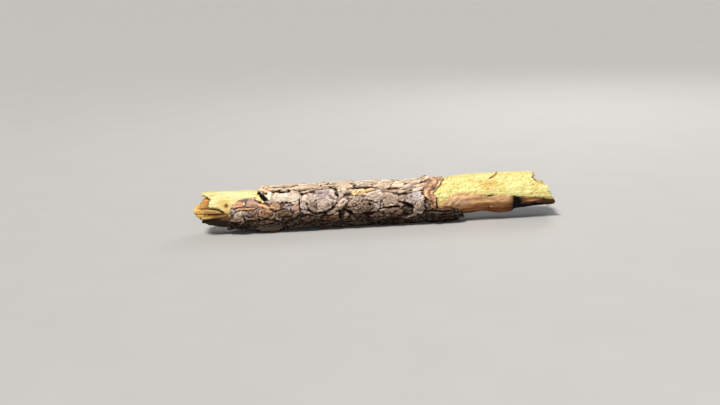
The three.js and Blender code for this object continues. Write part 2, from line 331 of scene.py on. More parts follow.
class Finish:
    def __init__(self, name, roughness, specular=0.25):
        self.material = bpy.data.materials.new(name)
        self.material.use_nodes = True
        self.tree = self.material.node_tree
        self.shader = self.tree.nodes["Principled BSDF"]
        self.shader.inputs["Roughness"].default_value = roughness
        self.shader.inputs["Specular IOR Level"].default_value = specular
        self.place = self.node("TexCoord", output="Object")

    def node(self, kind, settings=None, inputs=None, output=0):
        made = self.tree.nodes.new("ShaderNode" + kind)
        for key, value in (settings or {}).items():
            setattr(made, key, value)
        for key, value in (inputs or {}).items():
            if isinstance(value, Wire):
                self.tree.links.new(value.socket, made.inputs[key])
            else:
                made.inputs[key].default_value = value
        return Wire(self, made.outputs[output])

    def mark(self, name):
        return self.node("Attribute", {"attribute_name": name}, output="Fac")

    def markColour(self, name):
        return self.node("Attribute", {"attribute_name": name}, output="Color")

    def stretched(self, x, rise=0.0):
        # a pattern drawn out along a line that rises to the right by this angle
        inputs = {"Vector": self.place, "Scale": (1 / x, 1, 1), "Rotation": (0, -rise * degree, 0)}
        return self.node("Mapping", {"vector_type": "TEXTURE"}, inputs)

    def noise(self, size, detail=4.0, rough=0.55, place=None, warp=0.0):
        inputs = {"Vector": place or self.place, "Scale": 1 / (size * metre), "Detail": detail,
                  "Roughness": rough, "Distortion": warp}
        return self.node("TexNoise", inputs=inputs, output="Fac")

    def mix(self, share, first, second, how="MIX"):
        settings = {"data_type": "RGBA", "blend_type": how}
        first = first if isinstance(first, Wire) else (*first, 1)
        second = second if isinstance(second, Wire) else (*second, 1)
        return self.node("Mix", settings, {0: share, 6: first, 7: second}, output=2)

    def times(self, colour, tint):
        return self.mix(1.0, colour, tint, "MULTIPLY")

    def colour(self, wire):
        self.tree.links.new(wire.socket, self.shader.inputs["Base Color"])

    def relief(self, height, depth, strength):
        inputs = {"Strength": strength, "Distance": depth * metre, "Height": height}
        bump = self.node("Bump", inputs=inputs)
        self.tree.links.new(bump.socket, self.shader.inputs["Normal"])


# The stage: a pale floor, soft light, and a camera where the photograph was taken from

view = {"lens": 50.0, "sensor": 36.0, "distance": 893.0, "elevation": 14.0, "roll": 3.2,
        "lookAt": (-12.9, 0.0, 20.8)}
lampsAim = 20.0  # height of the place that the lamps point at
lamps = {
    # all point at the stick; the key light is far off, and its size is an angle
    "key": {"kind": "SUN", "place": (-300.0, -480.0, 860.0), "size": 15.0, "power": 3.15,
            "tint": (1.0, 0.975, 0.94)},
    "back": {"kind": "AREA", "place": (350.0, 650.0, 600.0), "size": 500.0, "power": 1.8,
             "tint": (0.93, 0.96, 1.0)},
    "fill": {"kind": "AREA", "place": (300.0, -900.0, 350.0), "size": 700.0, "power": 0.8,
             "tint": (0.97, 0.98, 1.0)},
}
surroundings = {"strength": 0.18, "tint": (0.96, 0.98, 1.0)}


def placeCamera():
    target = Vector(view["lookAt"]) * metre
    up = view["elevation"] * degree
    towards = Vector((0, -math.cos(up), math.sin(up)))
    bpy.ops.object.camera_add(location=target + towards * view["distance"] * metre)
    camera = lastAdded("camera")
    camera.data.lens = view["lens"]
    camera.data.sensor_width = view["sensor"]
    camera.data.clip_start = 0.01
    camera.data.clip_end = 100
    level = towards.to_track_quat("Z", "Y").to_matrix().to_4x4()
    level = level @ Matrix.Rotation(-view["roll"] * degree, 4, "Z")
    camera.matrix_world = Matrix.Translation(camera.location) @ level
    bpy.context.scene.camera = camera


def placeLamps():
    for name, lamp in lamps.items():
        place = Vector(lamp["place"]) * metre
        bpy.ops.object.light_add(type=lamp["kind"], location=place)
        made = lastAdded(name)
        if lamp["kind"] == "SUN":
            made.data.angle = lamp["size"] * degree
        else:
            made.data.shape = "DISK"
            made.data.size = lamp["size"] * metre
        made.data.energy = lamp["power"]
        made.data.color = lamp["tint"]
        target = Vector((0, 0, lampsAim * metre))
        made.rotation_euler = (place - target).to_track_quat("Z", "Y").to_euler()


def layFloor():
    bpy.ops.object.select_all(action="DESELECT")
    bpy.ops.mesh.primitive_plane_add(size=30, location=(0, 0, 0))
    floor = lastAdded("floor")
    paint = Finish("floor paint", roughness=0.7)
    paint.colour(paint.mix(paint.noise(60.0, 2.0), light(198, 196, 193), light(204, 202, 199)))
    floor.data.materials.append(paint.material)


def lightWorld():
    world = bpy.data.worlds.new("surroundings")
    world.use_nodes = True
    sky = world.node_tree.nodes["Background"]
    sky.inputs["Color"].default_value = (*surroundings["tint"], 1)
    sky.inputs["Strength"].default_value = surroundings["strength"]
    bpy.context.scene.world = world


placeCamera()
placeLamps()
layFloor()
lightWorld()
bpy.context.scene.view_settings.view_transform = "Standard"
print("stage is set")


# Bark: a sheet rolled round the wood, with scales laid on it one by one

tints = {
    "white": light(226, 212, 193),
    "cream": light(210, 189, 164),
    "straw": light(218, 188, 138),
    "sap": light(248, 230, 146),
    "silver": light(196, 178, 162),
    "lilac": light(186, 170, 164),
    "frost": light(192, 184, 186),
    "grey": light(166, 146, 130),
    "dusk": light(132, 112, 97),
    "tan": light(176, 140, 110),
    "moss": light(112, 92, 68),
    "salmon": light(214, 164, 130),
    "rose": light(186, 150, 132),
    "blush": light(214, 164, 122),
    "ember": light(146, 98, 70),
    "shell": light(224, 184, 148),
    "rust": light(132, 92, 68),
    "umber": light(84, 60, 45),
    "earth": light(60, 43, 32),
    "soot": light(72, 48, 32),
}
bark = {
    "alongSteps": 404,
    "aroundSteps": 216,
    "floor": 1.0,  # thickness at the bottom of a crevice
    "seat": 1.7,  # thickness that a scale's rise is counted from
    "middle": 20.5,  # radius on which the scales are measured
    "edgeRadius": 20.0,  # radius on which the ragged ends are worked out
    "layer": 0.95,  # thickness of the thin layers it is packed in
    "fullHeight": 41.4,  # above this it rises less
    "pressed": 0.6,  # share of the rise lost there
    # angle round, and x of each ragged end
    "leftEdge": [(-90, -133), (-60, -131), (-30, -129), (-3, -127.4), (15, -126), (26, -125),
                 (35, -120), (45, -110.5), (60, -103), (72, -101.6), (90, -99), (104, -100),
                 (135, -106), (165, -116), (200, -109), (235, -122), (270, -133)],
    "rightEdge": [(-90, 79), (-52, 78.1), (-42, 77), (-33, 73), (-23, 68), (-18, 60), (-12, 55.2),
                  (4, 54.6), (9, 55.4), (16, 53), (27, 52.2), (42, 55.3), (55, 59.2), (68, 62.3),
                  (80, 62), (100, 60), (130, 51), (160, 55), (190, 61), (225, 62), (250, 72), (270, 79)],
    # angle, and how far in from the right edge the orange inside is bared
    "bared": [(-90, 0.5), (-28, 1), (-18, 5), (-6, 6), (15, 7.5), (38, 13.5), (51, 15), (68, 14),
              (80, 12), (100, 9), (130, 6), (200, 4), (270, 0.5)],
}
# x, angle round, half length, half width, turn, rise, lift to the right, lift upwards, tint, wrinkles
shownScales = [
    (-119.6, 24, 6, 4, 8, 0.55, 0, 0, "salmon", 0.15),
    (-107.8, 27, 6.8, 4.6, -4, 0.7, 0, 0, "rose", 0.2),
    (-114.3, 28, 0.9, 3.6, 8, 1.2, 0, 0, "cream", 0.1),
    (-113.7, 13, 10, 1, 2, 1.3, 0, 0, "salmon", 0.3),
    (-96.6, 19, 7.6, 2.4, -14, 0.9, 0, 0, "salmon", 0.3),
    (-119.7, -9, 7.6, 7.4, 0, 1.8, -0.4, 0, "silver", 0.75),
    (-107.6, -11, 4.4, 3.6, 0, 1.6, 0, 0, "rose", 0.9),
    (-96.4, 3, 7, 5.4, 0, 1.8, 0, 0, "tan", 1.1),
    (-86.6, 18, 5.2, 5.0, 0, 2, 0, 0, "tan", 0.9),
    (-80.5, -2, 7, 5.4, -5, 1.7, 0, 0.2, "moss", 0.8),
    (-98.6, -30, 12, 5, -4, 1.6, 0, 0, "moss", 0.8),
    (-74.0, -16, 10, 5, 4, 1.4, 0, 0, "umber", 0.9),
    (-93.3, -54, 12, 4, -3, 1.9, 0, 0, "grey", 0.4),
    (-69.1, 14, 4, 5.8, 0, 0.6, 0, 0, "rose", 0.4),
    (-57.2, -24, 12, 5, 4, 1, 0, 0, "umber", 0.9),
    (-39.5, -26, 9, 4, 8, 0.8, 0, 0, "rust", 0.9),
    (-71.5, 84, 29, 7, -1, 2, 0.2, 0.2, "cream", 0.4),
    (-62.6, 54, 7.4, 1.5, 14, 1.9, 0, 0, "cream", 0.2),
    (-58.3, 63, 8.6, 1.5, 10, 1.8, 0, 0, "cream", 0.2),
    (-58.5, 39, 7, 2.3, 0, 2.2, 0, 0, "cream", 0.4),
    (-41.9, 49, 11, 6.0, 5, 1.7, 0.3, 0, "lilac", 1),
    (-49.5, 22, 16.5, 9.3, 5, 2.2, 0, -0.9, "lilac", 0.6),
    (-25.9, 80, 10, 6.4, 6, 2.1, 1.3, 0.2, "cream", 0.35),
    (-13.2, 45.5, 7.6, 4.6, -6, 2.1, 0, 0, "straw", 0.3),
    (-3.8, 50, 4.0, 2.6, 5, 2.2, 0, 0, "straw", 0.2),
    (-8.6, 74, 9.6, 3.8, -3, 1.9, 0.2, 0.2, "silver", 0.5),
    (-38, 88, 13, 5.0, 3, 1.9, 0.6, 0.2, "cream", 0.4),
    (-5, 88, 12, 4.6, -2, 1.8, 0.4, 0.2, "cream", 0.4),
    (56.5, -15, 4.6, 2.2, 6, 1.7, 0, 0, "rose", 0.4),
    (8.4, 66, 9, 5, -2, 2.2, 0.5, 0, "cream", 0.2),
    (21.5, 64, 6.8, 4.6, -3, 1.7, 0, 0, "cream", 0.2),
    (14.2, 43, 6.4, 1.7, 0, 1.0, 0, 0, "rose", 0.5),
    (23.8, 39, 3.4, 2.5, 0, 2.1, 0, -0.3, "cream", 0.15),
    (2.7, 30, 9, 5, -6, 1.7, 0, 0, "silver", 0.8),
    (-14, 27, 10, 5.6, 16, 1.9, 0, 0, "silver", 0.9),
    (-12, 4, 12, 6.8, 6, 2.2, 0, -0.3, "dusk", 1.1),
    (-29.5, 14, 7.2, 4.0, 36, 1.6, 0, 0, "silver", 0.9),
    (-33.5, 2, 5.0, 2.6, 30, 1.6, 0, 0, "grey", 0.9),
    (3.0, -24, 9, 5, 0, 1.6, 0, 0, "dusk", 1.1),
    (-15.9, -22, 10, 5, 0, 1.3, 0, 0, "umber", 1),
    (13.0, 18, 9.2, 7.6, 4, 2.6, 0.2, -1, "grey", 0.45),
    (15.4, -15, 10.5, 5.2, 0, 1.9, 0, 0.2, "dusk", 1.0),
    (30.2, -33, 8.0, 1.4, 26, 2.9, 0, 0, "white", 0.2),
    (31.1, -14, 8, 4, -20, 1, 0, 0, "earth", 0.9),
    (29.3, 55, 9, 2.7, 20, 1.8, 0.5, 0, "silver", 0.5),
    (35.3, 68, 12, 3.1, 27, 1.9, 1, 0, "silver", 0.5),
    (32.6, 82, 12, 3.1, 22, 1.8, 0.8, 0, "cream", 0.5),
    (44.6, 87, 7, 4.6, 20, 1.6, 0.4, 0, "cream", 0.5),
    (38.2, 44, 5.2, 1.9, 10, 2.3, 0, -0.5, "white", 0.1),
    (35.7, 17, 9.2, 6.8, 0, 2.2, 0, 0, "lilac", 0.9),
    (38.6, 2, 5.2, 6.8, -12, 2.5, 0, -0.9, "silver", 0.7),
    (44.1, -31, 8, 5, -8, 1.9, 0.3, 0, "earth", 0.8),
    (64.1, -42, 15.5, 9.5, 3, 2.3, 0.3, 0.2, "soot", -0.2),
]
# lobes and lumps grown fast to what they lie on
grownOn = [
    (-95.2, 76, 8.4, 6.6, -6, 2.6, 0, 0, "shell", 0.5),
    (-99.0, 78, 4.4, 4.6, 10, 3.2, 0, 0, "cream", 0.3),
    (-87.5, 84, 5.6, 4.4, 0, 3.3, 0, 0, "white", 0.3),
    (-91.0, 50, 3.3, 5.6, -10, 2.5, 0, 0, "white", 0.3),
    (-104.8, 46, 5.0, 3.8, -16, 1.7, 0, 0, "sap", 0.3),
    (-60.5, 27, 4.6, 6.4, 10, 2.5, 0, 0, "silver", 0.4),
    (-54.2, 7, 5.4, 5.6, 0, 2.9, 0, -0.8, "grey", 0.4),
    (-44.8, 15, 8.8, 4.2, 27, 2.8, 0, -0.8, "silver", 0.4),
    (-46.0, 36, 8.4, 3.4, 20, 2.5, 0, 0, "lilac", 0.6),
    (-25.5, 68, 8.0, 6.0, 12, 2.2, 0.6, 0, "cream", 0.3),
    (36.5, 25, 5.4, 4.4, 10, 2.7, 0, 0, "frost", 0.7),
]
# the same, each with a smoother outline
smoothOn = [
    (-84.5, 46, 6.0, 4.6, -24, 2.0, 0, 0, "cream", 0.2),
    (-77.0, 44, 12.0, 5.8, 5, 2.2, 0, 0.2, "white", 0.0),
    (-70.5, 51, 6.4, 4.2, 14, 2.2, 0, 0, "silver", 0.4),
    (-68.0, 37, 5.4, 6.6, -8, 2.5, 0, 0, "silver", 0.2),
    (0.2, 36, 9.4, 5.2, 8, 2.0, 0, 0, "silver", 0.3),
    (-16.5, 19, 8.6, 5.4, 30, 2.0, 0, 0, "grey", 0.7),
]
# where the bark has split into long strands: x, angle round, half sizes, turn, how far apart, how deep
combed = [
    (35, 70, 19, 12.5, 24, 4.4, 1.4),
    (-62, 78, 34, 10.5, 3, 4.4, 1.7),
    (-8, 80, 18, 8, 2, 4.4, 1.1),
    (12, 66, 13, 6, -2, 4.0, 0.8),
    (-42, 50, 11, 5, 12, 3.0, 0.6),
    (-22, 30, 13, 7.5, 34, 2.8, 0.6),
    (0.5, 36, 9, 6, 24, 3.0, 0.35),
    (-46, 26, 8, 6, 16, 2.8, 0.35),
    (64, -42, 15, 8, 4, 3.4, 0.35),
]
# x, angle round and reach of each ringed knot
knots = [(-97.6, 4, 5.6), (-15.5, 6, 6.0)]
# x and angle along each crevice, how wide and how deep
crevices = [
    ([(-80.9, 60), (-76, 62), (-70.2, 68)], 0.8, 1.7),
    ([(-68.9, 46), (-63.1, 50), (-57.2, 54)], 0.7, 1.2),
    ([(-65.7, 38), (-65.8, 20), (-65.4, 2)], 0.8, 1.8),
    ([(-59.3, 20), (-58, 4), (-54.1, -7), (-49.2, -7.5), (-45.3, -6), (-40.4, -1), (-36.5, 7), (-33.5, 17)],
     1.5, 2.8),
    ([(-33.1, 45), (-31.6, 36)], 1.8, 2.6),
    ([(-31.6, -5), (-30.7, -26), (-29.3, -46)], 0.9, 2),
    ([(-18, 88), (-16.5, 74), (-15, 62)], 1.4, 3),
    ([(-15.6, 63), (-6.8, 58)], 0.9, 1.7),
    ([(-7.2, 42), (-7, 38)], 0.8, 1.5),
    ([(10.6, 50), (25.8, 50)], 0.9, 1.7),
    ([(4.1, -6), (8.9, -2), (17.6, 0), (21.7, -3)], 1.1, 2.6),
    ([(12.4, 28), (5.6, 17), (4.4, -2)], 0.7, 1.5),
    ([(-4.8, 13), (-3.8, 6)], 1.2, 2.2),
    ([(-26.5, -4), (-22.5, -10), (-18.6, -17)], 2.6, 3.0),
    ([(6.7, -40), (14.7, -43), (23.5, -42), (29.6, -52)], 2.2, 2.6),
    ([(32.1, 41), (43.3, 38)], 0.8, 1.5),
    ([(22.2, 11), (26.1, 6), (30, -1), (34.5, -9)], 1.7, 2.8),
    ([(43.7, -2), (44.6, -14), (41, -25)], 1.4, 2.4),
    ([(51.8, 25), (54.2, 17), (55.2, 8)], 1.5, 2.4),
    ([(54.5, 8), (54.5, -6), (54.1, -22)], 1.0, 2.6),
    ([(-115, -10), (-114.2, -28)], 0.8, 2),
    ([(-123.4, 15), (-115.6, 17), (-105.8, 15)], 0.5, 1),
    ([(-90.2, 8), (-84.4, 6), (-78.5, 10)], 0.8, 1.6),
    ([(-111.4, -30), (-98.7, -36), (-88.8, -34)], 1.2, 2),
    ([(44.9, -21), (54.7, -23), (66.6, -27)], 0.9, 1.8),
    ([(25.5, 70), (33.6, 80), (41.7, 92)], 0.6, 1.3),
    ([(29.3, 62), (39.4, 74), (46.5, 84)], 0.6, 1.3),
    ([(-33.6, 18), (-31.6, 34), (-34.0, 44)], 0.7, 1.3),
    ([(-88, 66), (-79, 69), (-70, 64), (-62, 60), (-56, 63), (-49, 70)], 0.9, 1.6),
    ([(-58, 74), (-51, 78), (-44, 82), (-37, 90)], 0.8, 1.5),
    ([(-40, 62), (-31, 68), (-24, 76), (-19, 84)], 0.7, 1.3),
    ([(-17.5, 60), (-13.5, 55), (-12, 60)], 0.9, 1.6),
]
# the scales it lies on, pressed flat below
restingScales = [
    (-118, -64, 11, 12, 0, -0.8, 0, 0, "earth", 0.8),
    (-95, -86, 13.5, 10, 0, 3.6, 0, 0, "earth", 0.5),
    (-63, -80, 17, 12, 0, -0.7, 0, 0, "umber", 0.8),
    (-22, -86, 20, 10.5, -4, 1.3, 0, 0, "earth", 0.6),
    (20, -93, 20, 11, 3, 2.5, 0, 0, "earth", 0.5),
    (60, -90, 17, 11, 3, 2.8, 0, 0, "earth", 0.5),
]
twigHole = {"x": -98.8, "around": 49.5, "long": 8.6, "wide": 2.4, "turn": -50.0}


def barkRoot(x, around):
    # where the underside of the bark lies: over the wood, and over the inner bark where that runs
    over = 1.8 * ease(44.0, 54.0, x) * near(around, -70.0, 90.0)
    return woodRadius(x, around) + stick["gap"] + over


def offFrom(field, x, around):
    # how far each point of the bark is from a place on it, along and round
    return field["x"] - x, turned(field["around"] - around) * degree * bark["middle"]


def turnAxes(along, across, turn):
    cos, sin = math.cos(turn * degree), math.sin(turn * degree)
    return along * cos + across * sin, across * cos - along * sin


def lowDown(angle, frontFrom, backFrom):
    # 0 on the sides, 1 underneath
    return ease(frontFrom, -34.0, angle) * (angle < 100) + ease(backFrom, 225.0, angle) * (angle > 100)


# painted shade: how far splits, crevices, gaps between strands and the twig hole are painted near black
def shadeGaps(field, share):
    field["dark"] = np.maximum(field["dark"], share)


def blendIn(field, name, value, share):
    share = share[:, None] if name == "tint" else share
    field[name] = blend(field[name], value, share)


def unrollBark():
    share = np.linspace(0, 1, bark["alongSteps"] + 1)[:, None]
    around = np.linspace(-90, 270, bark["aroundSteps"] + 1)[None, :-1]
    angle = around[0] * degree
    ring = bark["edgeRadius"] * np.stack([np.cos(angle), np.sin(angle), 0 * angle], axis=1)
    left = follow(bark["leftEdge"], around[0]) + 1.3 * rough(ring, 7.0, 3)
    calm = 1 - 0.75 * near(fromBelow(around[0]), -52.0, 26.0)
    right = follow(bark["rightEdge"], around[0]) + 1.7 * calm * rough(ring, 6.0, 4)
    x = blend(left[None, :], right[None, :], share)
    around = np.broadcast_to(around, x.shape)
    field = {
        "left": left,
        "right": right,
        "shape": x.shape,
        "x": x.ravel().copy(),
        "around": around.ravel().copy(),
        "fromLeft": (x - left[None, :]).ravel(),
        "fromRight": (right[None, :] - x).ravel(),
    }
    field["points"] = onStick(field["x"], field["around"], bark["middle"])
    count = len(field["x"])
    for name in ("slipAlong", "slipAround", "cover", "edge", "dark"):
        field[name] = np.zeros(count)
    field["wrinkled"] = np.ones(count)
    field["height"] = np.full(count, bark["floor"])
    field["tint"] = np.tile(tints["umber"], (count, 1))
    return field


def layScale(field, scale, random, seat=None, moat=0.6, loose=0.28, crown=0.0):
    x, around, long, wide, turn, rise, liftRight, liftUp, tint, wrinkles = scale
    alongBy, aroundBy = offFrom(field, x, around)
    reach = 1.35 * max(long, wide) + 4
    here = np.nonzero((np.abs(alongBy) < reach) & (np.abs(aroundBy) < reach))[0]
    if not len(here):
        return
    place = field["points"][here]
    seed = int(random.integers(1000))
    wavy = loose * min(long, wide)
    alongBy = alongBy[here] + wavy * rough(place, 6.0, seed, 3)
    aroundBy = aroundBy[here] + wavy * rough(place, 6.0, seed + 1, 3)
    a, b = turnAxes(alongBy, aroundBy, turn)
    uneven = min(1.0, wrinkles + 0.3)

    # a rounded outline with a few corners broken off it
    across = (np.abs(a / long) ** 3.4 + np.abs(b / wide) ** 3.4) ** (1 / 3.4)
    bearing = np.arctan2(b / wide, a / long)
    outline = np.ones(len(here))
    for lobes in range(2, 6):
        outline += random.uniform(-0.25, 0.25) / lobes * np.cos(lobes * bearing + random.uniform(0, 6.3))
    inward = (outline - across) * min(long, wide)
    for _ in range(5):
        facing = random.uniform(0, 2 * math.pi)
        support = math.hypot(long * math.cos(facing), wide * math.sin(facing)) * random.uniform(0.72, 1.1)
        inward = np.minimum(inward, support - a * math.cos(facing) - b * math.sin(facing))
    inward = inward + loose * (bumps(place, 2.2, seed + 2) + 0.5 * bumps(place, 1.1, seed + 3))
    # ripples that follow the outline
    ripple = np.sin(3.6 * (inward + 1.5 * bumps(place, 5.0, seed + 12)))
    ripple = ripple * ease(0.4, 1.6, inward) * ease(7.0, 3.0, inward)

    lift = liftRight * a / long + liftUp * b / wide
    lift = lift * ease(-0.3, 1.0, lift) + np.minimum(lift, 0) * 0.4
    # it grows out of what lies above it, and ends in a free edge below
    upward = b / wide * (1 if math.cos((around - 14) * degree) >= 0 else -1)
    grown = ease(-0.1, 0.75, upward + 0.3 * bumps(place, 7.0, seed + 11))
    ramp = blend(0.5, random.uniform(1.6, 4.0), grown)
    steps = 0.62
    steps += 0.2 * ease(0.9, 1.4, inward + 1.4 * bumps(place, 3.0, seed + 4))
    steps += 0.18 * ease(2.4, 3.0, inward + 2.0 * bumps(place, 4.0, seed + 5))
    base = field["height"][here] if seat is None else seat
    wave = 0.5 * bumps(place, 9.0, seed + 6) + 0.3 * bumps(place, (8.0, 3.0, 3.0), seed + 7)
    top = base + rise * steps + lift + (wave + 0.22 * ripple) * uneven
    top += crown * (1 - np.clip(across, 0, 1) ** 2 - 0.4)
    moat = moat * random.uniform(0.3, 1.1)
    under = inward < 0
    opened = np.clip(-upward * 1.1 + 1.1 * bumps(place, 8.0, seed + 8), 0, 1)
    ditch = hump(inward, 0.95) * moat * opened * under
    old = field["height"][here]
    risen = ease(0.0, ramp, inward)
    top = blend(old, top, risen)
    lowered = old - (old - bark["floor"]) * ditch
    field["height"][here] = np.where(under, lowered, top)

    tilt = np.hypot(a / long ** 2, b / wide ** 2) + 1e-9
    outAlong, outAround = a / long ** 2 / tilt, b / wide ** 2 / tilt
    outAlong, outAround = turnAxes(outAlong, outAround, -turn)
    raised = np.clip(lift, 0, 1.4)
    slip = np.where(under, -0.9 * ditch, 0.45 * hump(inward, 0.7)) * raised
    keep = np.where(under, 1 - ditch, 1 - ease(0.0, 1.0, inward))
    for name, outward in (("slipAlong", outAlong), ("slipAround", outAround)):
        field[name][here] = field[name][here] * keep + slip * outward

    shown = ease(-0.1, 0.3 + 0.5 * (ramp - 0.5), inward)
    strength = 1 + uneven * (0.22 * bumps(place, 3.5, seed + 9) + 0.13 * bumps(place, 1.6, seed + 10))
    strength += 0.1 * ripple
    paint = tints[tint][None, :] * strength[:, None]
    field["tint"][here] = blend(field["tint"][here], paint, shown[:, None])
    field["wrinkled"][here] = blend(field["wrinkled"][here], wrinkles, shown)
    rim = hump(inward, 0.9) * (ramp < 1.2)
    for name, laid in (("cover", shown), ("edge", rim)):
        field[name][here] = np.where(under, field[name][here] * (1 - ditch), laid)


def wildScales(random):
    # scales all round, for what no listed scale covers
    rows, columns = 13, 15
    tops = ["cream", "silver", "grey", "lilac", "silver", "grey"]
    backs = ["grey", "dusk", "silver", "lilac", "dusk", "grey"]
    unders = ["umber", "earth", "dusk", "umber", "umber"]
    made = []
    for row in range(rows):
        for column in range(columns):
            around = -90 + 360 * (row + random.uniform(-0.4, 0.4)) / rows
            x = -136 + 222 * (column + 0.5 * (row % 2) + random.uniform(-0.4, 0.4)) / columns
            height = math.sin(around * degree)
            choices = tops if height > 0.6 else unders if height < -0.35 else backs
            thin = ease(0.45, 0.8, height)
            long, wide = random.uniform(7, 16), random.uniform(3.6, 8.0) * (1 - 0.4 * thin)
            turn, rise = random.uniform(-25, 25) * (1 - 0.5 * thin), random.uniform(0.6, 2.3)
            lifts = random.uniform(-1.0, 1.2), random.uniform(-0.9, 0.7)
            tint = pick(random, choices)
            made.append((x, around, long, wide, turn, rise, *lifts, tint, random.uniform(0.4, 1.1)))
    return sorted(made, key=lambda scale: scale[5])


def wildChips(random, count, longest):
    # small flakes of another layer, on top of what is there
    made = []
    for _ in range(count):
        around = random.uniform(-90, 270)
        height = math.sin(around * degree)
        choices = ["grey", "silver", "dusk", "dusk"] if height > -0.3 else ["umber", "dusk", "earth"]
        long = random.uniform(2.2, longest)
        thin = ease(0.3, 0.7, height)
        x, wide = random.uniform(-130, 78), long * random.uniform(0.3, 0.8) * (1 - 0.4 * thin)
        turn, rise = random.uniform(-50, 50) * (1 - 0.6 * thin), random.uniform(0.2, 0.7)
        lift, tint = random.uniform(-0.3, 0.3), pick(random, choices)
        made.append((x, around, long * (1 + 0.6 * thin), wide, turn, rise, lift, 0, tint, 0.6))
    return made


def shapeBark(field):
    random = np.random.default_rng(11)
    for scale in wildScales(random):
        layScale(field, scale, random, bark["seat"] - 0.6, 0.7, 0.4)
    for scale in wildChips(random, 170, 6.5):
        layScale(field, scale, random, None, 0.3, 0.5)
    tearBarkEnds(field)
    for scale in restingScales:
        layScale(field, scale, random, bark["seat"], 0.6)
    for scale in sorted(shownScales, key=lambda scale: scale[5]):
        layScale(field, scale, random, bark["seat"], crown=min(0.9, 0.14 * scale[3]))
    for scales, moat, loose, crown in ((grownOn, 0.1, 0.35, 0.6), (smoothOn, 0.15, 0.14, 0.7)):
        for scale in scales:
            layScale(field, scale, random, bark["seat"], moat, loose, crown)
    for scale in wildChips(random, 60, 3.0):
        layScale(field, scale, random, None, 0.15, 0.5)
    bareRightEdge(field)
    combStrands(field)
    ringKnots(field)
    crumple(field)
    cutCrevices(field)
    openTwigHole(field)
    field["height"] = np.maximum(field["height"], 0.3)


def crumple(field):
    # wrinkles, cracks and crumbs, more of them where the bark is old and low down
    warp = [bumps(field["points"], 6.0, seed) for seed in (91, 92, 93)]
    place = field["points"] + 2.0 * np.stack(warp, axis=1)
    angle = fromBelow(field["around"])
    low = ease(0.0, 60.0, 10 - angle) * (angle < 100)
    old = np.clip(field["wrinkled"] + 0.3 * low, 0.1, 1.2)
    folds = 0.6 * bumps(place, (7.0, 3.0, 3.0), 71) + 0.35 * bumps(place, (4.0, 1.5, 1.5), 72)
    crumbs = 0.3 * rough(place, 2.2, 73, 2)
    crests = 0.6 * (0.5 - 2.4 * np.abs(bumps(place, (5.5, 3.2, 3.2), 74)))
    crests += 0.2 * (0.5 - 2.4 * np.abs(bumps(place, (2.8, 1.9, 1.9), 78)))
    cracks = 0.75 * hump(bumps(place, (15.0, 7.0, 7.0), 75), 0.035)
    cracks += 0.45 * hump(bumps(place, (8.0, 4.0, 4.0), 76), 0.05)
    field["height"] += old * (folds + crumbs + crests - cracks)
    field["height"] += 0.12 * rough(place, 3.0, 77, 2)
    # on top the scales have split lengthwise, and the splits are painted darker: painted shade
    split = hump(bumps(place, (20.0, 3.6, 3.6), 79), 0.06) * ease(52.0, 66.0, field["around"])
    split = split * ease(0.0, 0.25, bumps(place, 9.0, 80) + 0.12) * ease(125.0, 100.0, field["around"])
    field["height"] -= 0.9 * split
    shadeGaps(field, 0.45 * split)
    splitLayers(field, place, old)


def combStrands(field):
    place = field["points"]
    for number, (x, around, long, wide, turn, space, deep) in enumerate(combed):
        a, b = turnAxes(*offFrom(field, x, around), turn)
        inside = ease(1.1, 0.75, np.hypot(a / long, b / wide) + 0.25 * bumps(place, 6.0, 131 + number))
        wander = b + 1.4 * bumps(np.stack([a, b, 0 * a], axis=1), (22.0, 3.4, 3.0), 140 + number)
        strand = np.abs(np.sin(math.pi * wander / space))
        broken = ease(-0.4, 0.05, bumps(place, (15.0, 7.0, 7.0), 150 + number))
        field["height"] += inside * broken * deep * (strand ** 0.7 - 0.7)
        # the gaps between strands are painted darker: painted shade
        gap = inside * broken * ease(0.52, 0.22, strand)
        field["dark"] = np.maximum(field["dark"] * (1 - 0.7 * inside), min(0.6, 0.26 + 0.22 * deep) * gap)
        field["tint"] *= (1 + 0.14 * inside * broken * np.sin(2.6 * wander + 1.9 * number))[:, None]
        blendIn(field, "wrinkled", 0.25, 0.9 * inside)


def ringKnots(field):
    # bark that has grown in rings round an old twig
    place = field["points"]
    for x, around, reach in knots:
        alongBy, aroundBy = offFrom(field, x, around)
        away = np.hypot(alongBy, 1.15 * aroundBy) + 1.2 * bumps(place, 4.5, 161)
        inside = ease(1.1, 0.7, away / reach)
        rings = np.sin(2 * math.pi * away / 2.3 + 1.2 + 3.2 * bumps(place, 4.0, 162))
        field["height"] += inside * (0.34 * rings - 0.3 * hump(away, 1.0))
        field["tint"] *= 1 + 0.09 * (inside * rings)[:, None]
        blendIn(field, "tint", tints["rust"], 0.5 * hump(away, 1.7))
        blendIn(field, "wrinkled", 0.9, 0.8 * inside)


def splitLayers(field, place, old):
    # bark is packed in thin layers, and each one ends in a small step
    drift = 1.9 * bumps(place, (14.0, 7.0, 7.0), 111) + 0.9 * bumps(place, (6.0, 3.4, 3.4), 112)
    level = (field["height"] + drift) / bark["layer"]
    whole = np.floor(level)
    part = level - whole
    amount = np.clip(0.12 + 0.65 * old, 0, 0.8)
    field["height"] += bark["layer"] * amount * (ease(0.36, 0.64, part) - part)
    # each step is painted paler at its crest and darker at its foot, a painted highlight and painted shade;
    # each layer also gets its own tone
    pale = 0.5 * hump(part - 0.72, 0.1) - 0.5 * hump(part - 0.3, 0.12)
    field["layer"] = amount * (pale + 0.45 * np.sin(whole * 2.4))


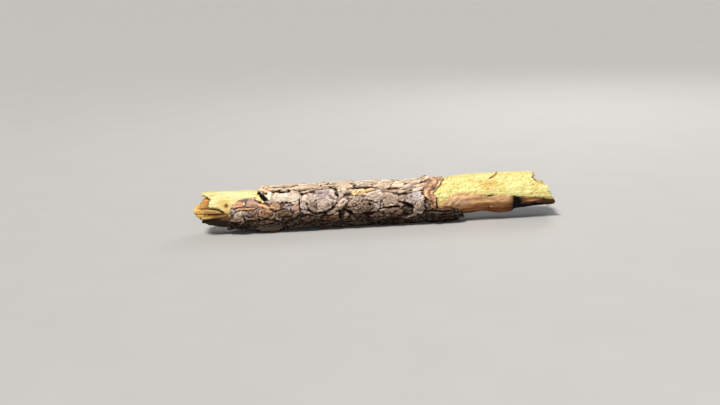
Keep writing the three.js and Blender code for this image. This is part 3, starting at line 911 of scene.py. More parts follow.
def cutCrevices(field):
    wander = 0.7 * bumps(field["points"], 3.0, 95)
    for line, wide, deep in crevices:
        middle = np.mean([p[0] for p in line])
        reach = max(abs(p[0] - middle) for p in line) + 8
        here = np.nonzero(np.abs(field["x"] - middle) < reach)[0]
        off, path = lineOff(field["x"][here], field["around"][here], line, bark["middle"])
        off = np.abs(off + wander[here])
        width = wide * (0.38 + 0.5 * np.sin(math.pi * np.clip(path, 0.05, 0.95)))
        cut = hump(off, width)
        field["height"][here] -= deep * cut
        # the crevice is painted near black: painted shade
        field["dark"][here] = np.maximum(field["dark"][here], cut)


def tearBarkEnds(field):
    # the left end thins out towards its edge
    ragged = 2.2 * rough(field["points"], 8.0, 41, 3)
    thin = 1 - ease(0.5, 5.0, field["fromLeft"] + ragged)
    thin = thin * near(field["around"], 10.0, 66.0)
    blendIn(field, "height", np.minimum(field["height"], 1.5), thin)


def bareRightEdge(field):
    # the right end bares its orange inside, in ragged layers
    place = field["points"]
    angle = fromBelow(field["around"])
    width = follow(bark["bared"], angle)
    off = field["fromRight"] + 1.6 * rough(place, 6.0, 43, 3)
    bare = (1 - ease(0.92, 1.05, off / width)) * ease(-26.0, -19.0, angle) * ease(238.0, 225.0, angle)
    flow = follow(bark["rightEdge"], angle) - field["x"] + 3.6 * bumps(place, (12.0, 9.0, 9.0), 44)
    flow = flow + 1.1 * bumps(place, 4.0, 46) - 2.5 * ease(40.0, 75.0, angle)
    fold = np.sin(2 * math.pi * flow / 6.6 + 0.6)
    layers = 1.6 + 0.6 * fold + 0.8 * bumps(place, (6.0, 5.0, 5.0), 42) + 0.3 * bumps(place, 2.4, 45)
    blendIn(field, "height", layers, bare)
    tone = np.clip(0.64 + 0.26 * fold + 0.7 * bumps(place, (5.0, 4.0, 4.0), 47), 0, 1)
    shade = 0.94 + 0.4 * bumps(place, 2.4, 45)
    orange = blend(tints["ember"], tints["shell"], tone[:, None])
    orange = blend(orange, tints["blush"], ease(30.0, 8.0, angle)[:, None] * 0.6) * shade[:, None]
    blendIn(field, "tint", orange, 0.92 * bare)
    field["cover"] = np.maximum(field["cover"], 0.9 * bare)
    blendIn(field, "wrinkled", 0.2, bare)
    for name in ("slipAlong", "slipAround", "edge"):
        field[name] *= 1 - bare


def openTwigHole(field):
    a, b = turnAxes(*offFrom(field, twigHole["x"], twigHole["around"]), twigHole["turn"])
    lengthwise = a / twigHole["long"]
    wide = twigHole["wide"] * (1 + 0.25 * lengthwise) * (1 - 0.5 * hump(a + 2.6, 1.3))
    across = np.hypot(lengthwise, (b + 0.5 * np.sin(a / 2.4)) / wide)
    across = across + 0.2 * bumps(field["points"], 2.5, 51)
    hole = 1 - ease(0.8, 1.1, across)
    rim = hump(across - 1.5, 0.34) * ease(-0.5, 1.0, -b) * ease(1.0, 0.7, lengthwise)
    field["height"] = blend(field["height"] + 0.5 * rim, 0.0, hole)
    blendIn(field, "tint", tints["sap"], rim)
    # the hole is painted near black: painted shade
    field["dark"] = np.maximum(field["dark"] * (1 - rim), ease(0.0, 0.5, hole))
    blendIn(field, "cover", 1.0, rim)
    for name in ("slipAlong", "slipAround"):
        field[name] *= 1 - np.maximum(hole, rim)


def barkPoints(field):
    shape = field["shape"]
    x = field["x"] + field["slipAlong"]
    around = field["around"] + field["slipAround"] / bark["middle"] / degree
    outer = onStick(x, around, barkRoot(x, around) + field["height"]).reshape(*shape, 3)
    x, around = x.reshape(shape), around.reshape(shape)

    def ring(share, end, deeper):
        at = x[end] + deeper
        full = field["height"].reshape(shape)[end]
        return onStick(at, around[end], barkRoot(at, around[end]) + full * share)

    rightRim = [ring(0.7, -1, -0.3), ring(0.35, -1, -0.8), ring(0.0, -1, -1.0)]
    leftRim = [ring(0.0, 0, 1.0), ring(0.35, 0, 0.8), ring(0.7, 0, 0.3)]
    inside = []
    for share in np.linspace(0, 1, 12)[1:-1]:
        at = blend(x[-1] - 1.0, x[0] + 1.0, share)
        turn = blend(around[-1], around[0], share)
        inside.append(onStick(at, turn, barkRoot(at, turn)))
    points = np.stack([*outer, *rightRim, *inside, *leftRim, outer[0]])
    height = points[..., 2]
    height -= bark["pressed"] * np.maximum(height - bark["fullHeight"], 0.0)
    points[..., 2] = np.maximum(height, 0.0)
    return closeRound(points)


def barkMarks(field, rows):
    shape = field["shape"]
    height = field["height"].reshape(shape)
    # darker below, most of all where it meets the ground: painted shade, over bark that is itself weathered
    # darker there
    angle = fromBelow(field["around"])
    low = lowDown(angle, 30.0, 162.0)
    low = np.clip(low + 0.35 * rough(field["points"], 9.0, 97, 3) * (low > 0.02), 0, 1)
    field["tint"] *= blend(1.0, np.array([0.27, 0.205, 0.16]), low[:, None])
    field["tint"] *= (1 - 0.5 * ease(-34.0, -58.0, angle) * (angle < 100))[:, None]
    # each layer's own tone, with the painted highlight and painted shade of its step
    field["tint"] *= 1 + 0.34 * field["layer"][:, None]
    # broad random changes of tone, over a few millimetres
    broad = rough(field["points"], (11.0, 6.0, 6.0), 98, 2)
    field["tint"] *= 1.05 + 0.32 * np.clip(broad, -1, 1)[:, None]
    ribbon = near(angle, 84.0, 44.0) * rough(field["points"], (16.0, 2.6, 2.6), 99, 3)
    field["tint"] *= (1 - 0.08 * near(angle, 80.0, 50.0) + 0.3 * np.clip(ribbon, -0.8, 0.6))[:, None]
    marks = {name: field[name].reshape(shape) for name in ("cover", "edge", "dark")}
    marks |= {
        "relief": np.clip((height - soften(height, 3)) * 1.3, -1, 1),
        "broad": np.clip((height - soften(height, 14)) * 0.5, -1, 1),
        "calm": np.clip(1.1 - field["wrinkled"], 0, 1).reshape(shape),
        "tint": field["tint"].reshape(*shape, 3),
    }
    extra = rows - shape[0]
    for name, grid in marks.items():
        right = np.repeat(grid[-1:], extra // 2, axis=0)
        left = np.repeat(grid[:1], extra - extra // 2, axis=0)
        marks[name] = closeRound(np.concatenate([grid, right, left]))
    return marks


def finishBark():
    skin = Finish("flaking bark", roughness=0.9, specular=0.12)
    long = skin.stretched(0.3)
    coarse = skin.noise(5.0, 5.0, 0.6)
    middle = skin.noise(2.3, 4.0, 0.65, warp=0.8)
    fine = skin.noise(1.1, 4.0, 0.7)
    streaks = skin.noise(1.5, 4.0, 0.65, long, 0.6)
    colour = skin.markColour("tint")
    darker = skin.times(colour, (0.46, 0.40, 0.36))
    paler = skin.times(colour, (1.55, 1.5, 1.46))
    colour = skin.mix(coarse.between(0.5, 0.72) * 0.5, colour, darker)
    colour = skin.mix(middle.between(0.46, 0.34) * (0.65 - skin.mark("calm") * 0.4), colour, darker)
    colour = skin.mix(streaks.between(0.48, 0.68) * 0.7, colour, paler)
    colour = skin.mix(fine.between(0.53, 0.68) * (0.8 - skin.mark("calm") * 0.6), colour, darker)
    # rims and crests made paler: partly worn bark, partly painted highlight
    wearAndHighlight = skin.mark("edge") * 0.5 + skin.mark("relief").between(0.05, 0.5)
    crest = skin.mix(0.12, skin.times(colour, (1.75, 1.66, 1.58)), light(240, 222, 200))
    colour = skin.mix((wearAndHighlight * fine.between(0.25, 0.55)).kept() * 0.8, colour, crest)
    # darker in hollows and where no scale covers the bark beneath: painted shade
    deep = skin.mark("relief").between(-0.08, -0.75) + skin.mark("broad").between(-0.2, -1.0) * 0.5
    hollow = ((1 - skin.mark("cover")) * 0.2 + deep).kept()
    pocket = skin.mix(0.5, skin.times(colour, (0.28, 0.22, 0.18)), light(44, 30, 22))
    colour = skin.mix(hollow * 0.85, colour, pocket)
    # near black in splits, crevices, gaps and the twig hole: painted shade
    colour = skin.mix(skin.mark("dark").between(0.25, 0.85), colour, light(16, 11, 8))
    skin.colour(colour)
    skin.relief(streaks * 0.5 + fine * 0.7 + middle * 0.5 + coarse * 0.4, 0.7, 0.9)
    return skin.material


def makeBark():
    field = unrollBark()
    shapeBark(field)
    points = barkPoints(field)
    piece = rollSheet("bark_sleeve", points, barkMarks(field, points.shape[0]))
    tidyMesh(piece)
    handOver(piece, finishBark(), "bark")
    return field


barkField = makeBark()
print("bark is on")


# Wood: a pole with a torn face of splinters at each end

wood = {
    "aroundSteps": 176,
    "coreSteps": 28,
    "bareLeftSteps": 84,
    "hiddenSteps": 16,
    "bareRightSteps": 130,
    "bareLeft": -98.0,  # the bark hides the wood from here
    "bareRight": 48.0,  # to here
    "taper": 0.8,  # lost from the radius towards the right end
    # x, and how much more of the radius is lost from below there
    "lostBelow": [(116, 0), (121.5, 0.7), (125, 1.9), (135, 2.3), (146, 2.9), (158, 3.3)],
    # x, and angle of the lip's edge above the strip sunk under it, and how deep that is
    "lipEdge": [(-153, 22), (-146, 18.5), (-138.4, 13.5), (-134, 6), (-131, -4)],
    "stripDeep": 1.9,
}
leftTear = {
    "tip": stick["left"],
    "inward": 1,  # which way along x is into the wood
    "slivers": 46,
    # angle round, and how short of the tip the outer shell of the wood stops
    "shell": [(-90, 12), (-60, 12), (-35, 10.5), (-25, 9.9), (-19, 8.6), (-16, 7.4), (-8, 7.6),
              (-5, 9.6), (0, 8.8), (8, 9.6), (14, 12), (18, 14.0), (20, 14.0), (30, 14.6), (36, 14.8),
              (43, 16), (49, 16.5), (57, 13.7), (66, 11.6), (73, 8.4), (78, 7.4), (95, 7.0), (115, 7.4),
              (137, 7.8), (147, 10.8), (153, 13.3), (160, 14.5), (180, 14), (200, 12), (225, 11),
              (250, 10), (270, 12)],
    # front and up of each splinter of the heart, its half sizes, and how short it stops
    "heart": [(2, 1.4, 10.5, 2.4, 0), (3.5, 5.6, 11, 1.7, 6.4), (3, 8.0, 10, 1.2, 8.4),
              (4, 9.8, 9, 1.0, 11.2), (3, -2.0, 10, 1.4, 2.6), (4, -4.4, 9.5, 1.4, 5.6),
              (4, -7.0, 9, 1.6, 8.0), (7, -10.4, 7, 1.4, 7.0), (-9, 2, 5, 6, 8), (-7, -8, 5, 3, 10)],
    "root": 21.0,  # how short the heart stops between its splinters
    "steep": 30.0,
    "shellInside": 0.87,  # share of the radius at which the outer shell begins
}
rightTear = {
    "tip": stick["right"],
    "inward": -1,
    "slivers": 46,
    "shell": [(-90, 4), (-60, 1.4), (-45, 0), (-31, 1.2), (-22, 2.6), (-15, 3.6), (-5, 5.5), (4, 7.8),
              (6.5, 8.3), (10, 6.8), (17, 7.2), (23, 7.4), (25.5, 11.3), (29, 14.3), (34.5, 17.3),
              (45, 19.6), (50, 20.6), (54, 21.4), (58, 20.4), (63, 18.4), (76, 17.6), (90, 18),
              (110, 19), (132, 18), (150, 20), (162, 18), (174, 13), (181, 9.5), (184, 6.5), (195, 6),
              (209, 4.4), (219, 3), (240, 2), (270, 4)],
    "heart": [(0, -9, 12, 5, 4), (3, -3, 10, 3, 8), (0, 3, 11, 3, 10), (-2, 8, 10, 3, 19),
              (0, 13, 9, 3, 21)],
    "root": 24.0,
    "steep": 9.0,
    "shellInside": 0.9,
}
# x and angle along each lengthwise split, how wide and how deep
grooves = [
    {"line": [(-147, 17.5), (-142, 15.5), (-138, 12.5), (-134, 5), (-131, -4)], "wide": 0.8, "deep": 3.0},
    {"line": [(-153, -4.5), (-144, -5), (-137, -4), (-132, -5)], "wide": 0.7, "deep": 1.8},
    {"line": [(-153, -21), (-143, -20), (-134, -15)], "wide": 0.9, "deep": 1.8},
]
pit = {"x": -129.9, "around": 22.5, "wide": 1.3, "deep": 2.2, "lip": 4.2, "swell": 1.2}
# x, angle and height along the strip torn up from the right end, and how wide it is at each
snag = {
    "line": [(101, 52, -0.4), (103.5, 58, 0.4), (106, 65, 0.7), (108.2, 74, 1.0), (110, 84, 1.6)],
    "wide": [0.63, 0.9, 0.855, 0.72, 0.315],
    "thick": 0.35,
}
knob = {"x": 140.5, "around": 70.0, "rise": 0.9}
# x, angle round, half length and half angle of each amber blotch
blotches = [(100, 33, 10, 9), (103, 44, 6, 9), (93, 47, 6, 6), (-134, 36, 5, 10), (-143, 66, 4, 10)]


def heartShort(tear, front, up):
    least = np.full(front.shape, tear["root"])
    for atFront, atUp, wide, tall, short in tear["heart"]:
        off = (np.abs((front - atFront) / wide) ** 3 + np.abs((up - atUp) / tall) ** 3) ** (1 / 3)
        least = np.minimum(least, short + tear["steep"] * np.maximum(0, off - 1))
    return least


def tornFace(tear):
    # rows of the torn end, from its middle out to the rim, each with its share of the radius
    around = np.linspace(-90, 270, wood["aroundSteps"] + 1)[:-1]
    full = woodRadius(np.full(around.shape, tear["tip"] * 0.94), around)
    inner = tear["shellInside"]
    steps = [(share * (inner - 0.03), 0.0) for share in np.linspace(0, 1, wood["coreSteps"] + 1) ** 0.85]
    steps += [(inner - 0.022, 0.2), (inner - 0.015, 0.45), (inner - 0.007, 0.75), (inner, 1.0)]
    steps += [(share, 1.0) for share in np.linspace(inner, 1, 7)[1:]]
    made = []
    for share, shell in steps:
        radius = full * share
        front, up = radius * np.cos(around * degree), radius * np.sin(around * degree)
        flat = np.stack([front, up, np.zeros_like(front)], axis=-1)
        spikes = 2.2 * bumps(flat, 1.7, 5) + 1.7 * bumps(flat, 0.8, 6)
        heart = heartShort(tear, front, up) + 1.5 * bumps(flat, 4.0, 7) + 1.3 * spikes
        edge = follow(tear["shell"], around) + 0.55 * spikes + 1.2 * (1 - share) * 8 * (shell == 1.0)
        short = np.maximum(blend(heart, np.minimum(edge, heart) if shell < 1 else edge, shell), 0)
        if share == 0:
            short = np.full(around.shape, short.mean())
        made.append((tear["tip"] + tear["inward"] * short, share))
    return around, made


def awayFromPit(x, around):
    return np.hypot(x - pit["x"], 0.8 * turned(around - pit["around"]) * degree * stick["radius"])


def grooveDepth(x, around):
    total = np.zeros(x.shape)
    for groove in grooves:
        off, path = lineOff(x, around, groove["line"], stick["radius"])
        width = groove["wide"] * (0.55 + 0.7 * np.sin(math.pi * np.clip(path, 0.03, 0.97)))
        total = np.maximum(total, groove["deep"] * hump(off, width) * ease(1.05, 0.8, path))
    away = awayFromPit(x, around)
    return np.maximum(total, pit["deep"] * hump(away, pit["wide"]))


def endTaper(x, around):
    # what the right end has lost: a little all round, more from below
    below = follow(wood["lostBelow"], x)
    waist = 1.2 * hump(x - 94.0, 8.5) * near(around, -74.0, 70.0)
    return wood["taper"] * ease(118.0, 146.0, x) + below * near(around, -80.0, 80.0) + waist


def stripBelowLip(x, around):
    # the sunk strip under the pointed lip of the left end
    above = follow(wood["lipEdge"], x)
    angle = turned(around)
    return ease(130.5, 134.0, -x) * ease(1.5, -1.5, angle - above) * ease(-7.0, -4.0, angle)


def woodSide(x, around):
    flat = onStick(x, around, stick["radius"])
    fibres = 0.45 * bumps(flat, (24.0, 2.2, 2.2), 81) + 0.25 * bumps(flat, (10.0, 0.9, 0.9), 82)
    lumps = 0.5 * bumps(flat, (20.0, 12.0, 12.0), 83) + 0.3 * bumps(flat, (7.0, 4.0, 4.0), 84)
    swell = pit["swell"] * hump(awayFromPit(x + 1.5, around), pit["lip"])
    swell = swell + 0.5 * near(around, -13.0, 9.0) * ease(133.0, 138.0, -x)
    raised = np.hypot((x - knob["x"]) / 2.2, turned(around - knob["around"]) / 9)
    radius = woodRadius(x, around) + (fibres + lumps) + swell + knob["rise"] * hump(raised, 1.0)
    sunk = grooveDepth(x, around), wood["stripDeep"] * stripBelowLip(x, around)
    return radius - sunk[0] - sunk[1] - endTaper(x, around)


def crumble(points, share):
    # the fibres of a torn face are bent and broken
    bent = [bumps(points, (3.2, 1.5, 1.5), 171), bumps(points, (3.2, 1.5, 1.5), 172)]
    return points + ease(1.0, 0.84, share) * np.stack([0 * bent[0], *bent], axis=-1)


def woodPoints():
    around, leftFace = tornFace(leftTear)
    around, rightFace = tornFace(rightTear)
    rows, shares = [], []

    def addRow(x, share):
        rows.append(crumble(onStick(x, around, woodSide(x, around) * share), share))
        shares.append(np.full(around.shape, share if share < 1 else 2.0))

    for x, share in leftFace:
        addRow(x, share)
    leftX, rightX = leftFace[-1][0], rightFace[-1][0]
    for share in np.linspace(0, 1, wood["bareLeftSteps"] + 1)[1:-1]:
        addRow(blend(leftX, wood["bareLeft"], share ** 1.15), 1.0)
    for share in np.linspace(0, 1, wood["hiddenSteps"] + 1)[:-1]:
        addRow(np.full(around.shape, blend(wood["bareLeft"], wood["bareRight"], share)), 1.0)
    for share in np.linspace(0, 1, wood["bareRightSteps"] + 1)[:-1]:
        addRow(blend(wood["bareRight"], rightX, 1 - (1 - share) ** 1.1), 1.0)
    for x, share in reversed(rightFace):
        addRow(x, share)
    return closeRound(np.stack(rows)), closeRound(np.stack(shares))


woodTints = {
    "sap": light(240, 245, 190),
    "sapRight": light(252, 255, 188),
    "gold": light(242, 206, 116),
    "amber": light(226, 182, 92),
    "tip": light(255, 214, 122),
    "heart": light(255, 192, 110),
    "blush": light(216, 164, 122),
    "tan": light(142, 94, 52),
    "brown": light(74, 44, 20),
    "deep": light(30, 17, 8),
}


def paintWood(points, share):
    x = points[..., 0]
    around = np.broadcast_to(np.linspace(-90, 270, x.shape[1])[None, :], x.shape)
    coat = Coat(x.shape, woodTints, "sap")
    lay = coat.lay
    mottle = rough(points, (9.0, 4.0, 4.0), 85, 3)
    streak = rough(points, (30.0, 2.0, 2.0), 86, 3)
    fine = rough(points, (9.0, 0.8, 0.8), 87, 2)
    crumb = rough(points, (1.9, 1.3, 1.3), 88, 3)
    face, left = share < 1.5, x < 0
    torn = face & left
    low = fromBelow(around)
    up = points[..., 2] - axisHeight(x)

    lay("sapRight", ease(20.0, 70.0, x))
    lay("amber", 0.55 * ease(0.15, 0.7, mottle) * (0.3 + 0.7 * ease(20.0, 70.0, x)))
    lay("gold", 0.5 * ease(0.1, 0.6, streak))
    lay("gold", 0.6 * left * near(around, 90.0, 22.0) * ease(-0.3, 0.4, streak))
    shoulder = near(around, 21.0, 15.0) * ease(147.0, 139.0, -x)
    lay("amber", 0.9 * left * shoulder * ease(-0.45, 0.35, fine + mottle))
    lay("gold", 0.75 * left * near(around, 2.0, 14.0) * ease(-0.5, 0.2, streak))
    lay("amber", 0.7 * left * near(around, 0.0, 12.0) * ease(0.0, 0.4, mottle + 0.5 * fine))
    for at, angle, long, wide in blotches:
        blotch = np.hypot((x - at) / long, turned(around - angle) / wide)
        lay("amber", 0.7 * (1 - ease(0.3, 1.3, blotch + 0.7 * mottle + 0.5 * fine)))
    # the torn left face: gold at the tip, orange behind, and darker between its splinters, a painted shade
    setBack = np.where(left, x - stick["left"], stick["right"] - x)
    lay("tip", 0.9 * torn)
    lay("heart", 0.9 * torn * ease(3.5, 6.5, setBack + 2 * mottle) * ease(0.5, 4.0, up))
    lay("blush", 0.2 * torn * ease(0.72, 0.84, share) * ease(-2.0, 2.0, up))
    lay("tan", 0.95 * torn * ease(-0.2, -2.4, up))
    lay("brown", 0.4 * torn * ease(0.3, 0.7, fine) * ease(1.0, -1.0, up))
    # a painted shadow under the edge of the outer shell
    lay("brown", 0.9 * torn * near(share, 0.88, 0.024) * ease(0.0, 3.0, up))
    lay("amber", 0.8 * torn * ease(0.0, 0.35, crumb) * ease(-1.0, 1.5, up))
    lay("tan", 0.6 * torn * ease(-0.16, -0.55, crumb))
    lay("sap", 0.7 * torn * ease(0.3, 0.6, crumb + 0.3 * mottle) * ease(7.0, 3.0, setBack))
    lay("amber", 0.45 * (face & ~left))
    # darker deep in between the splinters of both torn faces: painted shade
    lay("brown", torn * ease(13.0, 18.0, setBack) * (share < 0.9))
    lay("brown", (face & ~left) * ease(16.0, 24.0, setBack) * 0.35)
    # the strip below the lip, and the underside with one pale splinter along it
    strip = stripBelowLip(x, around) * ~face
    lay("amber", 0.8 * strip)
    lay("tan", 0.8 * strip * ease(-0.25, 0.3, fine + streak))
    front = left & (low < 100)
    under = ease(4.0, -3.0, low) * front * ease(127.0, 129.5, -x) * ~face
    lay("tan", 0.9 * under)
    lay("brown", 0.6 * under * ease(-0.5, 0.3, streak + fine))
    lay("gold", 0.85 * near(around, -12.0, 8.0) * ease(141.0, 147.0, -x) * left)
    grain = ease(134.0, 140.0, -x) * ease(-0.1, 0.35, fine + 0.6 * streak)
    lay("tan", 0.75 * near(around, -14.0, 10.0) * left * grain)
    # further down it turns brown and then near black, in front and at the back: painted shade
    lay("brown", ease(-15.0, -22.0, low) * front * (0.6 + 0.4 * ease(125.0, 138.0, -x)))
    lay("deep", 0.9 * ease(-20.0, -32.0, low) * front)
    lay("brown", ease(230.0, 250.0, low) * left * 0.9)
    # the grooves painted near black, a painted shade; the pit with its brown smear, and a painted highlight
    # on the lit side of its rim; and the bared knob
    lay("deep", np.clip(grooveDepth(x, around) / 2.0, 0, 1) * 0.9 * ~face)
    away = awayFromPit(x, around)
    lit = ease(-0.9, 0.9, pit["around"] - around + (x - pit["x"]))
    lay("heart", 0.8 * hump(away - 2.0, 1.2) * lit)
    lay("tan", 0.85 * hump(away + 0.9 * crumb, 1.6))
    lip = near(around, 9.0, 9.0) * ease(134.0, 138.0, -x) * ease(151.0, 147.0, -x)
    lay("blush", 0.55 * left * ~face * lip)
    knobOff = np.hypot((x - knob["x"] - 1) / 2.6, turned(around - knob["around"]) / 11)
    lay("blush", 0.8 * (1 - ease(0.5, 1.2, knobOff)))
    return coat.colour


def finishWood():
    grain = Finish("bare pine wood", roughness=0.75)
    x = grain.node("SeparateXYZ", inputs={0: grain.place}, output="X")
    rightEnd = x.between(0.03, 0.06)
    fibre = grain.noise(1.3, 4.0, 0.6, grain.stretched(0.14), 0.6)
    lace = grain.noise(4.2, 5.0, 0.62, grain.stretched(0.45, 24.0), 1.6)
    flecks = grain.noise(1.4, 4.0, 0.6, grain.stretched(0.25, 32.0), 1.0)
    specks = grain.noise(1.0, 3.0, 0.6, grain.stretched(0.28, 20.0), 0.8)
    line = (lace.between(0.455, 0.49) * lace.between(0.535, 0.5)).kept()
    line = (line + (lace.between(0.575, 0.6) * lace.between(0.645, 0.615)) * 0.7).kept()
    colour = grain.markColour("tint")
    golden = grain.times(colour, light(240, 220, 136))
    olive = grain.times(colour, light(150, 122, 70))
    colour = grain.mix(fibre.between(0.42, 0.66) * 0.45, colour, golden)
    colour = grain.mix(lace.between(0.5, 0.7) * (0.2 + 0.35 * rightEnd), colour, golden)
    amber = grain.times(colour, light(234, 194, 104))
    colour = grain.mix(line * (0.15 + 0.55 * rightEnd), colour, amber)
    colour = grain.mix(flecks.between(0.55, 0.64) * (0.18 + 0.52 * rightEnd), colour, olive)
    colour = grain.mix(specks.between(0.59, 0.66) * (0.15 + 0.5 * rightEnd), colour, olive)
    grain.colour(colour)
    grain.relief(fibre * 0.6 + lace * 0.5 - flecks * 0.4 - specks * 0.3, 0.6, 0.8)
    return grain.material


def makeSliver(start, tip, wide, random):
    # a loose splinter standing out of a torn end: thick at its root, a point at its tip
    steps, sides = 5, 6
    turn = np.linspace(0, 2 * math.pi, sides + 1)
    bend = random.uniform(-0.5, 0.5, 3) * np.array([0.2, 1, 1])
    rows = []
    for share in np.linspace(0, 1, steps + 1):
        middle = blend(np.array(start), np.array(tip), share) + bend * share ** 2
        size = wide * (1 - share ** 1.5)
        ring = np.stack([0 * turn, size * np.cos(turn), size * 0.45 * np.sin(turn + 0.6)], axis=-1)
        rows.append(middle[None, :] + ring)
    rows.insert(0, np.repeat(rows[0].mean(axis=0)[None, :], sides + 1, axis=0))
    points = np.stack(rows)
    paint = np.zeros_like(points) + woodTints["sap" if random.uniform() < 0.6 else "amber"]
    return rollSheet("sliver", points, {"tint": paint})


def makeSlivers():
    random = np.random.default_rng(37)
    made = []
    for tear in (leftTear, rightTear):
        bareAt = np.array(tear["tip"] + 10 * tear["inward"])
        for _ in range(tear["slivers"]):
            around = random.uniform(-90, 270)
            onShell = random.uniform() < 0.6
            share = random.uniform(0.86, 0.99) if onShell else math.sqrt(random.uniform(0, 0.7))
            radius = float(woodRadius(bareAt, np.array(around))) * share - 0.9
            front, up = radius * math.cos(around * degree), radius * math.sin(around * degree)
            edge = float(follow(tear["shell"], around))
            heart = float(heartShort(tear, np.array([front]), np.array([up]))[0])
            short = edge if share > 0.85 else heart
            tipAt = max(short - random.uniform(0.8, 3.4), 0.2)
            where = tear["tip"] + tear["inward"] * np.array([short + 3.0, tipAt])
            root, tip = onStick(where, np.array([around, around]), np.array([radius, radius]))
            made.append(makeSliver(root, tip, random.uniform(0.35, 0.9), random))
    return made


def makeSnag():
    # a strip of wood torn up from the right end, still fast at its root
    x, around, above = [np.array(column, float) for column in zip(*snag["line"])]
    radius = woodRadius(x, around) + above
    path = onStick(x, around, radius)
    along = np.gradient(path, axis=0)
    along /= np.linalg.norm(along, axis=1)[:, None]
    outward = onStick(x, around, radius + 1) - path
    across = np.cross(along, outward)
    turn = np.linspace(0, 2 * math.pi, 9)[:, None]
    rows = [at + wide * np.cos(turn) * side + snag["thick"] * np.sin(turn) * out
            for at, wide, side, out in zip(path, snag["wide"], across, outward)]
    rows = [np.repeat(path[:1], 9, axis=0), *rows, np.repeat(path[-1:], 9, axis=0)]
    points = np.stack(rows)
    paint = np.zeros_like(points) + woodTints["amber"]
    paint[:3] = woodTints["tan"]
    paint[-3:] = woodTints["blush"]
    return rollSheet("snag", points, {"tint": paint})


def makeWood():
    points, share = woodPoints()
    piece = rollSheet("wood_pole", points, {"tint": paintWood(points, share)})
    piece = joinAll([piece, makeSnag(), *makeSlivers()], "wood_pole")
    tidyMesh(piece)
    handOver(piece, finishWood(), "wood")


makeWood()
print("wood is in")


# Inner bark: a thin brown skin left under the bare right end

innerBark = {
    "start": 50.0,  # x at which it comes out from under the bark
    "reach": 158.5,  # x of its far end, until that is fitted to the tear
    "end": 159.6,  # no thread of it passes this
    # angle of its edge at the back, and x and angle of its edge in front
    "backEdge": -158.0,
    "frontEdge": [(49, -24), (54.8, -14), (58.6, -6), (63.5, 2), (68.4, 12), (75.2, 17), (83.1, 11),
                  (91.9, 8), (101.7, 4), (109.6, 4), (115.5, 2), (121.4, -2), (125.4, -5.5),
                  (135.3, -9), (149.2, -17), (156.3, -24)],
    "thick": 0.8,
    "alongSteps": 250,
    "aroundSteps": 120,
}
skinTints = {
    "pale": light(232, 194, 142),
    "tan": light(204, 160, 112),
    "brown": light(182, 132, 87),
    "pink": light(212, 166, 134),
    "peach": light(246, 208, 158),
    "rust": light(116, 70, 36),
    "low": light(78, 46, 26),
    "ash": light(176, 160, 146),
    "char": light(7, 5, 3),
}


def paintSkin(x, around, fromEdge):
    coat = Coat(x.shape, skinTints, "brown")
    lay = coat.lay
    flat = onStick(x, around, stick["radius"])
    streak = rough(flat, (22.0, 2.6, 2.6), 66, 3)
    mottle = rough(flat, (9.0, 4.0, 4.0), 67, 3)

    # paler on the upper side and darker towards the bottom, here and in the pale streaks below: painted
    # highlight and painted shade
    high = ease(-32.0, -4.0, around)
    lay("tan", 0.8 * high * ease(-0.5, 0.4, streak))
    lay("rust", ease(-20.0, -45.0, around))
    lay("low", ease(-48.0, -80.0, around))
    lay("pink", 0.8 * ease(-30.0, -10.0, around) * ease(100.0, 80.0, x + 6 * mottle))
    lay("pale", 0.8 * ease(0.1, 0.5, streak + 0.3 * mottle) * (0.35 + 0.65 * high))
    lay("rust", 0.55 * ease(-0.1, -0.6, streak) * (x > 66))
    grey = np.hypot((x - 77) / 6, (around + 12) / 7)
    lay("ash", 0.5 * (1 - ease(0.3, 1.3, grey + 0.5 * mottle)))
    swirl = ease(-0.3, 0.5, np.sin(0.9 * (x - 60) - 0.32 * around + 2.4 * mottle))
    lay("peach", 0.9 * ease(84.0, 68.0, x + 4 * mottle) * swirl * ease(-24.0, -12.0, around))
    lay("pale", 0.9 * hump(fromEdge, 1.6) * ease(131.0, 127.0, x))
    lay("rust", 0.8 * ease(129.0, 134.0, x) * ease(0.6, -0.2, streak))
    lay("low", 0.97 * ease(138.0, 149.0, x) * ease(-8.0, -18.0, around))
    # a near-black band, and near black along the underside of the tip
    wavy = 0.7 * mottle
    band = ease(120.4, 122.2, x + wavy) * (1 - ease(127.5, 132.0, x + 3 * wavy))
    out = 10 * ease(138.0, 154.0, x)
    under = ease(120.4, 124.5, x + wavy) * ease(-26.0 - out, -33.0 - out, around - 8 * mottle)
    lay("low", 0.75 * ease(116.5, 121.0, x + 2.5 * mottle) * ease(136.0, 131.0, x + 2 * mottle))
    lay("rust", 0.6 * ease(112.0, 119.0, x + 3 * mottle) * ease(-12.0, -30.0, around) * (x < 121))
    lay("char", np.maximum(band, under))
    # a small pale scar
    lay("low", 0.8 * hump(np.hypot(x - 100.6, (around + 37) * 0.3), 1.9))
    lay("peach", hump(np.hypot(x - 102.4, (around + 33) * 0.3), 0.9))
    # a gap at its edge, painted near black: painted shade
    gap = np.hypot((x - 101) / 4.0, (fromEdge - 0.6) / 1.0)
    lay("char", 0.85 * (1 - ease(0.5, 1.2, gap)))
    return coat.colour


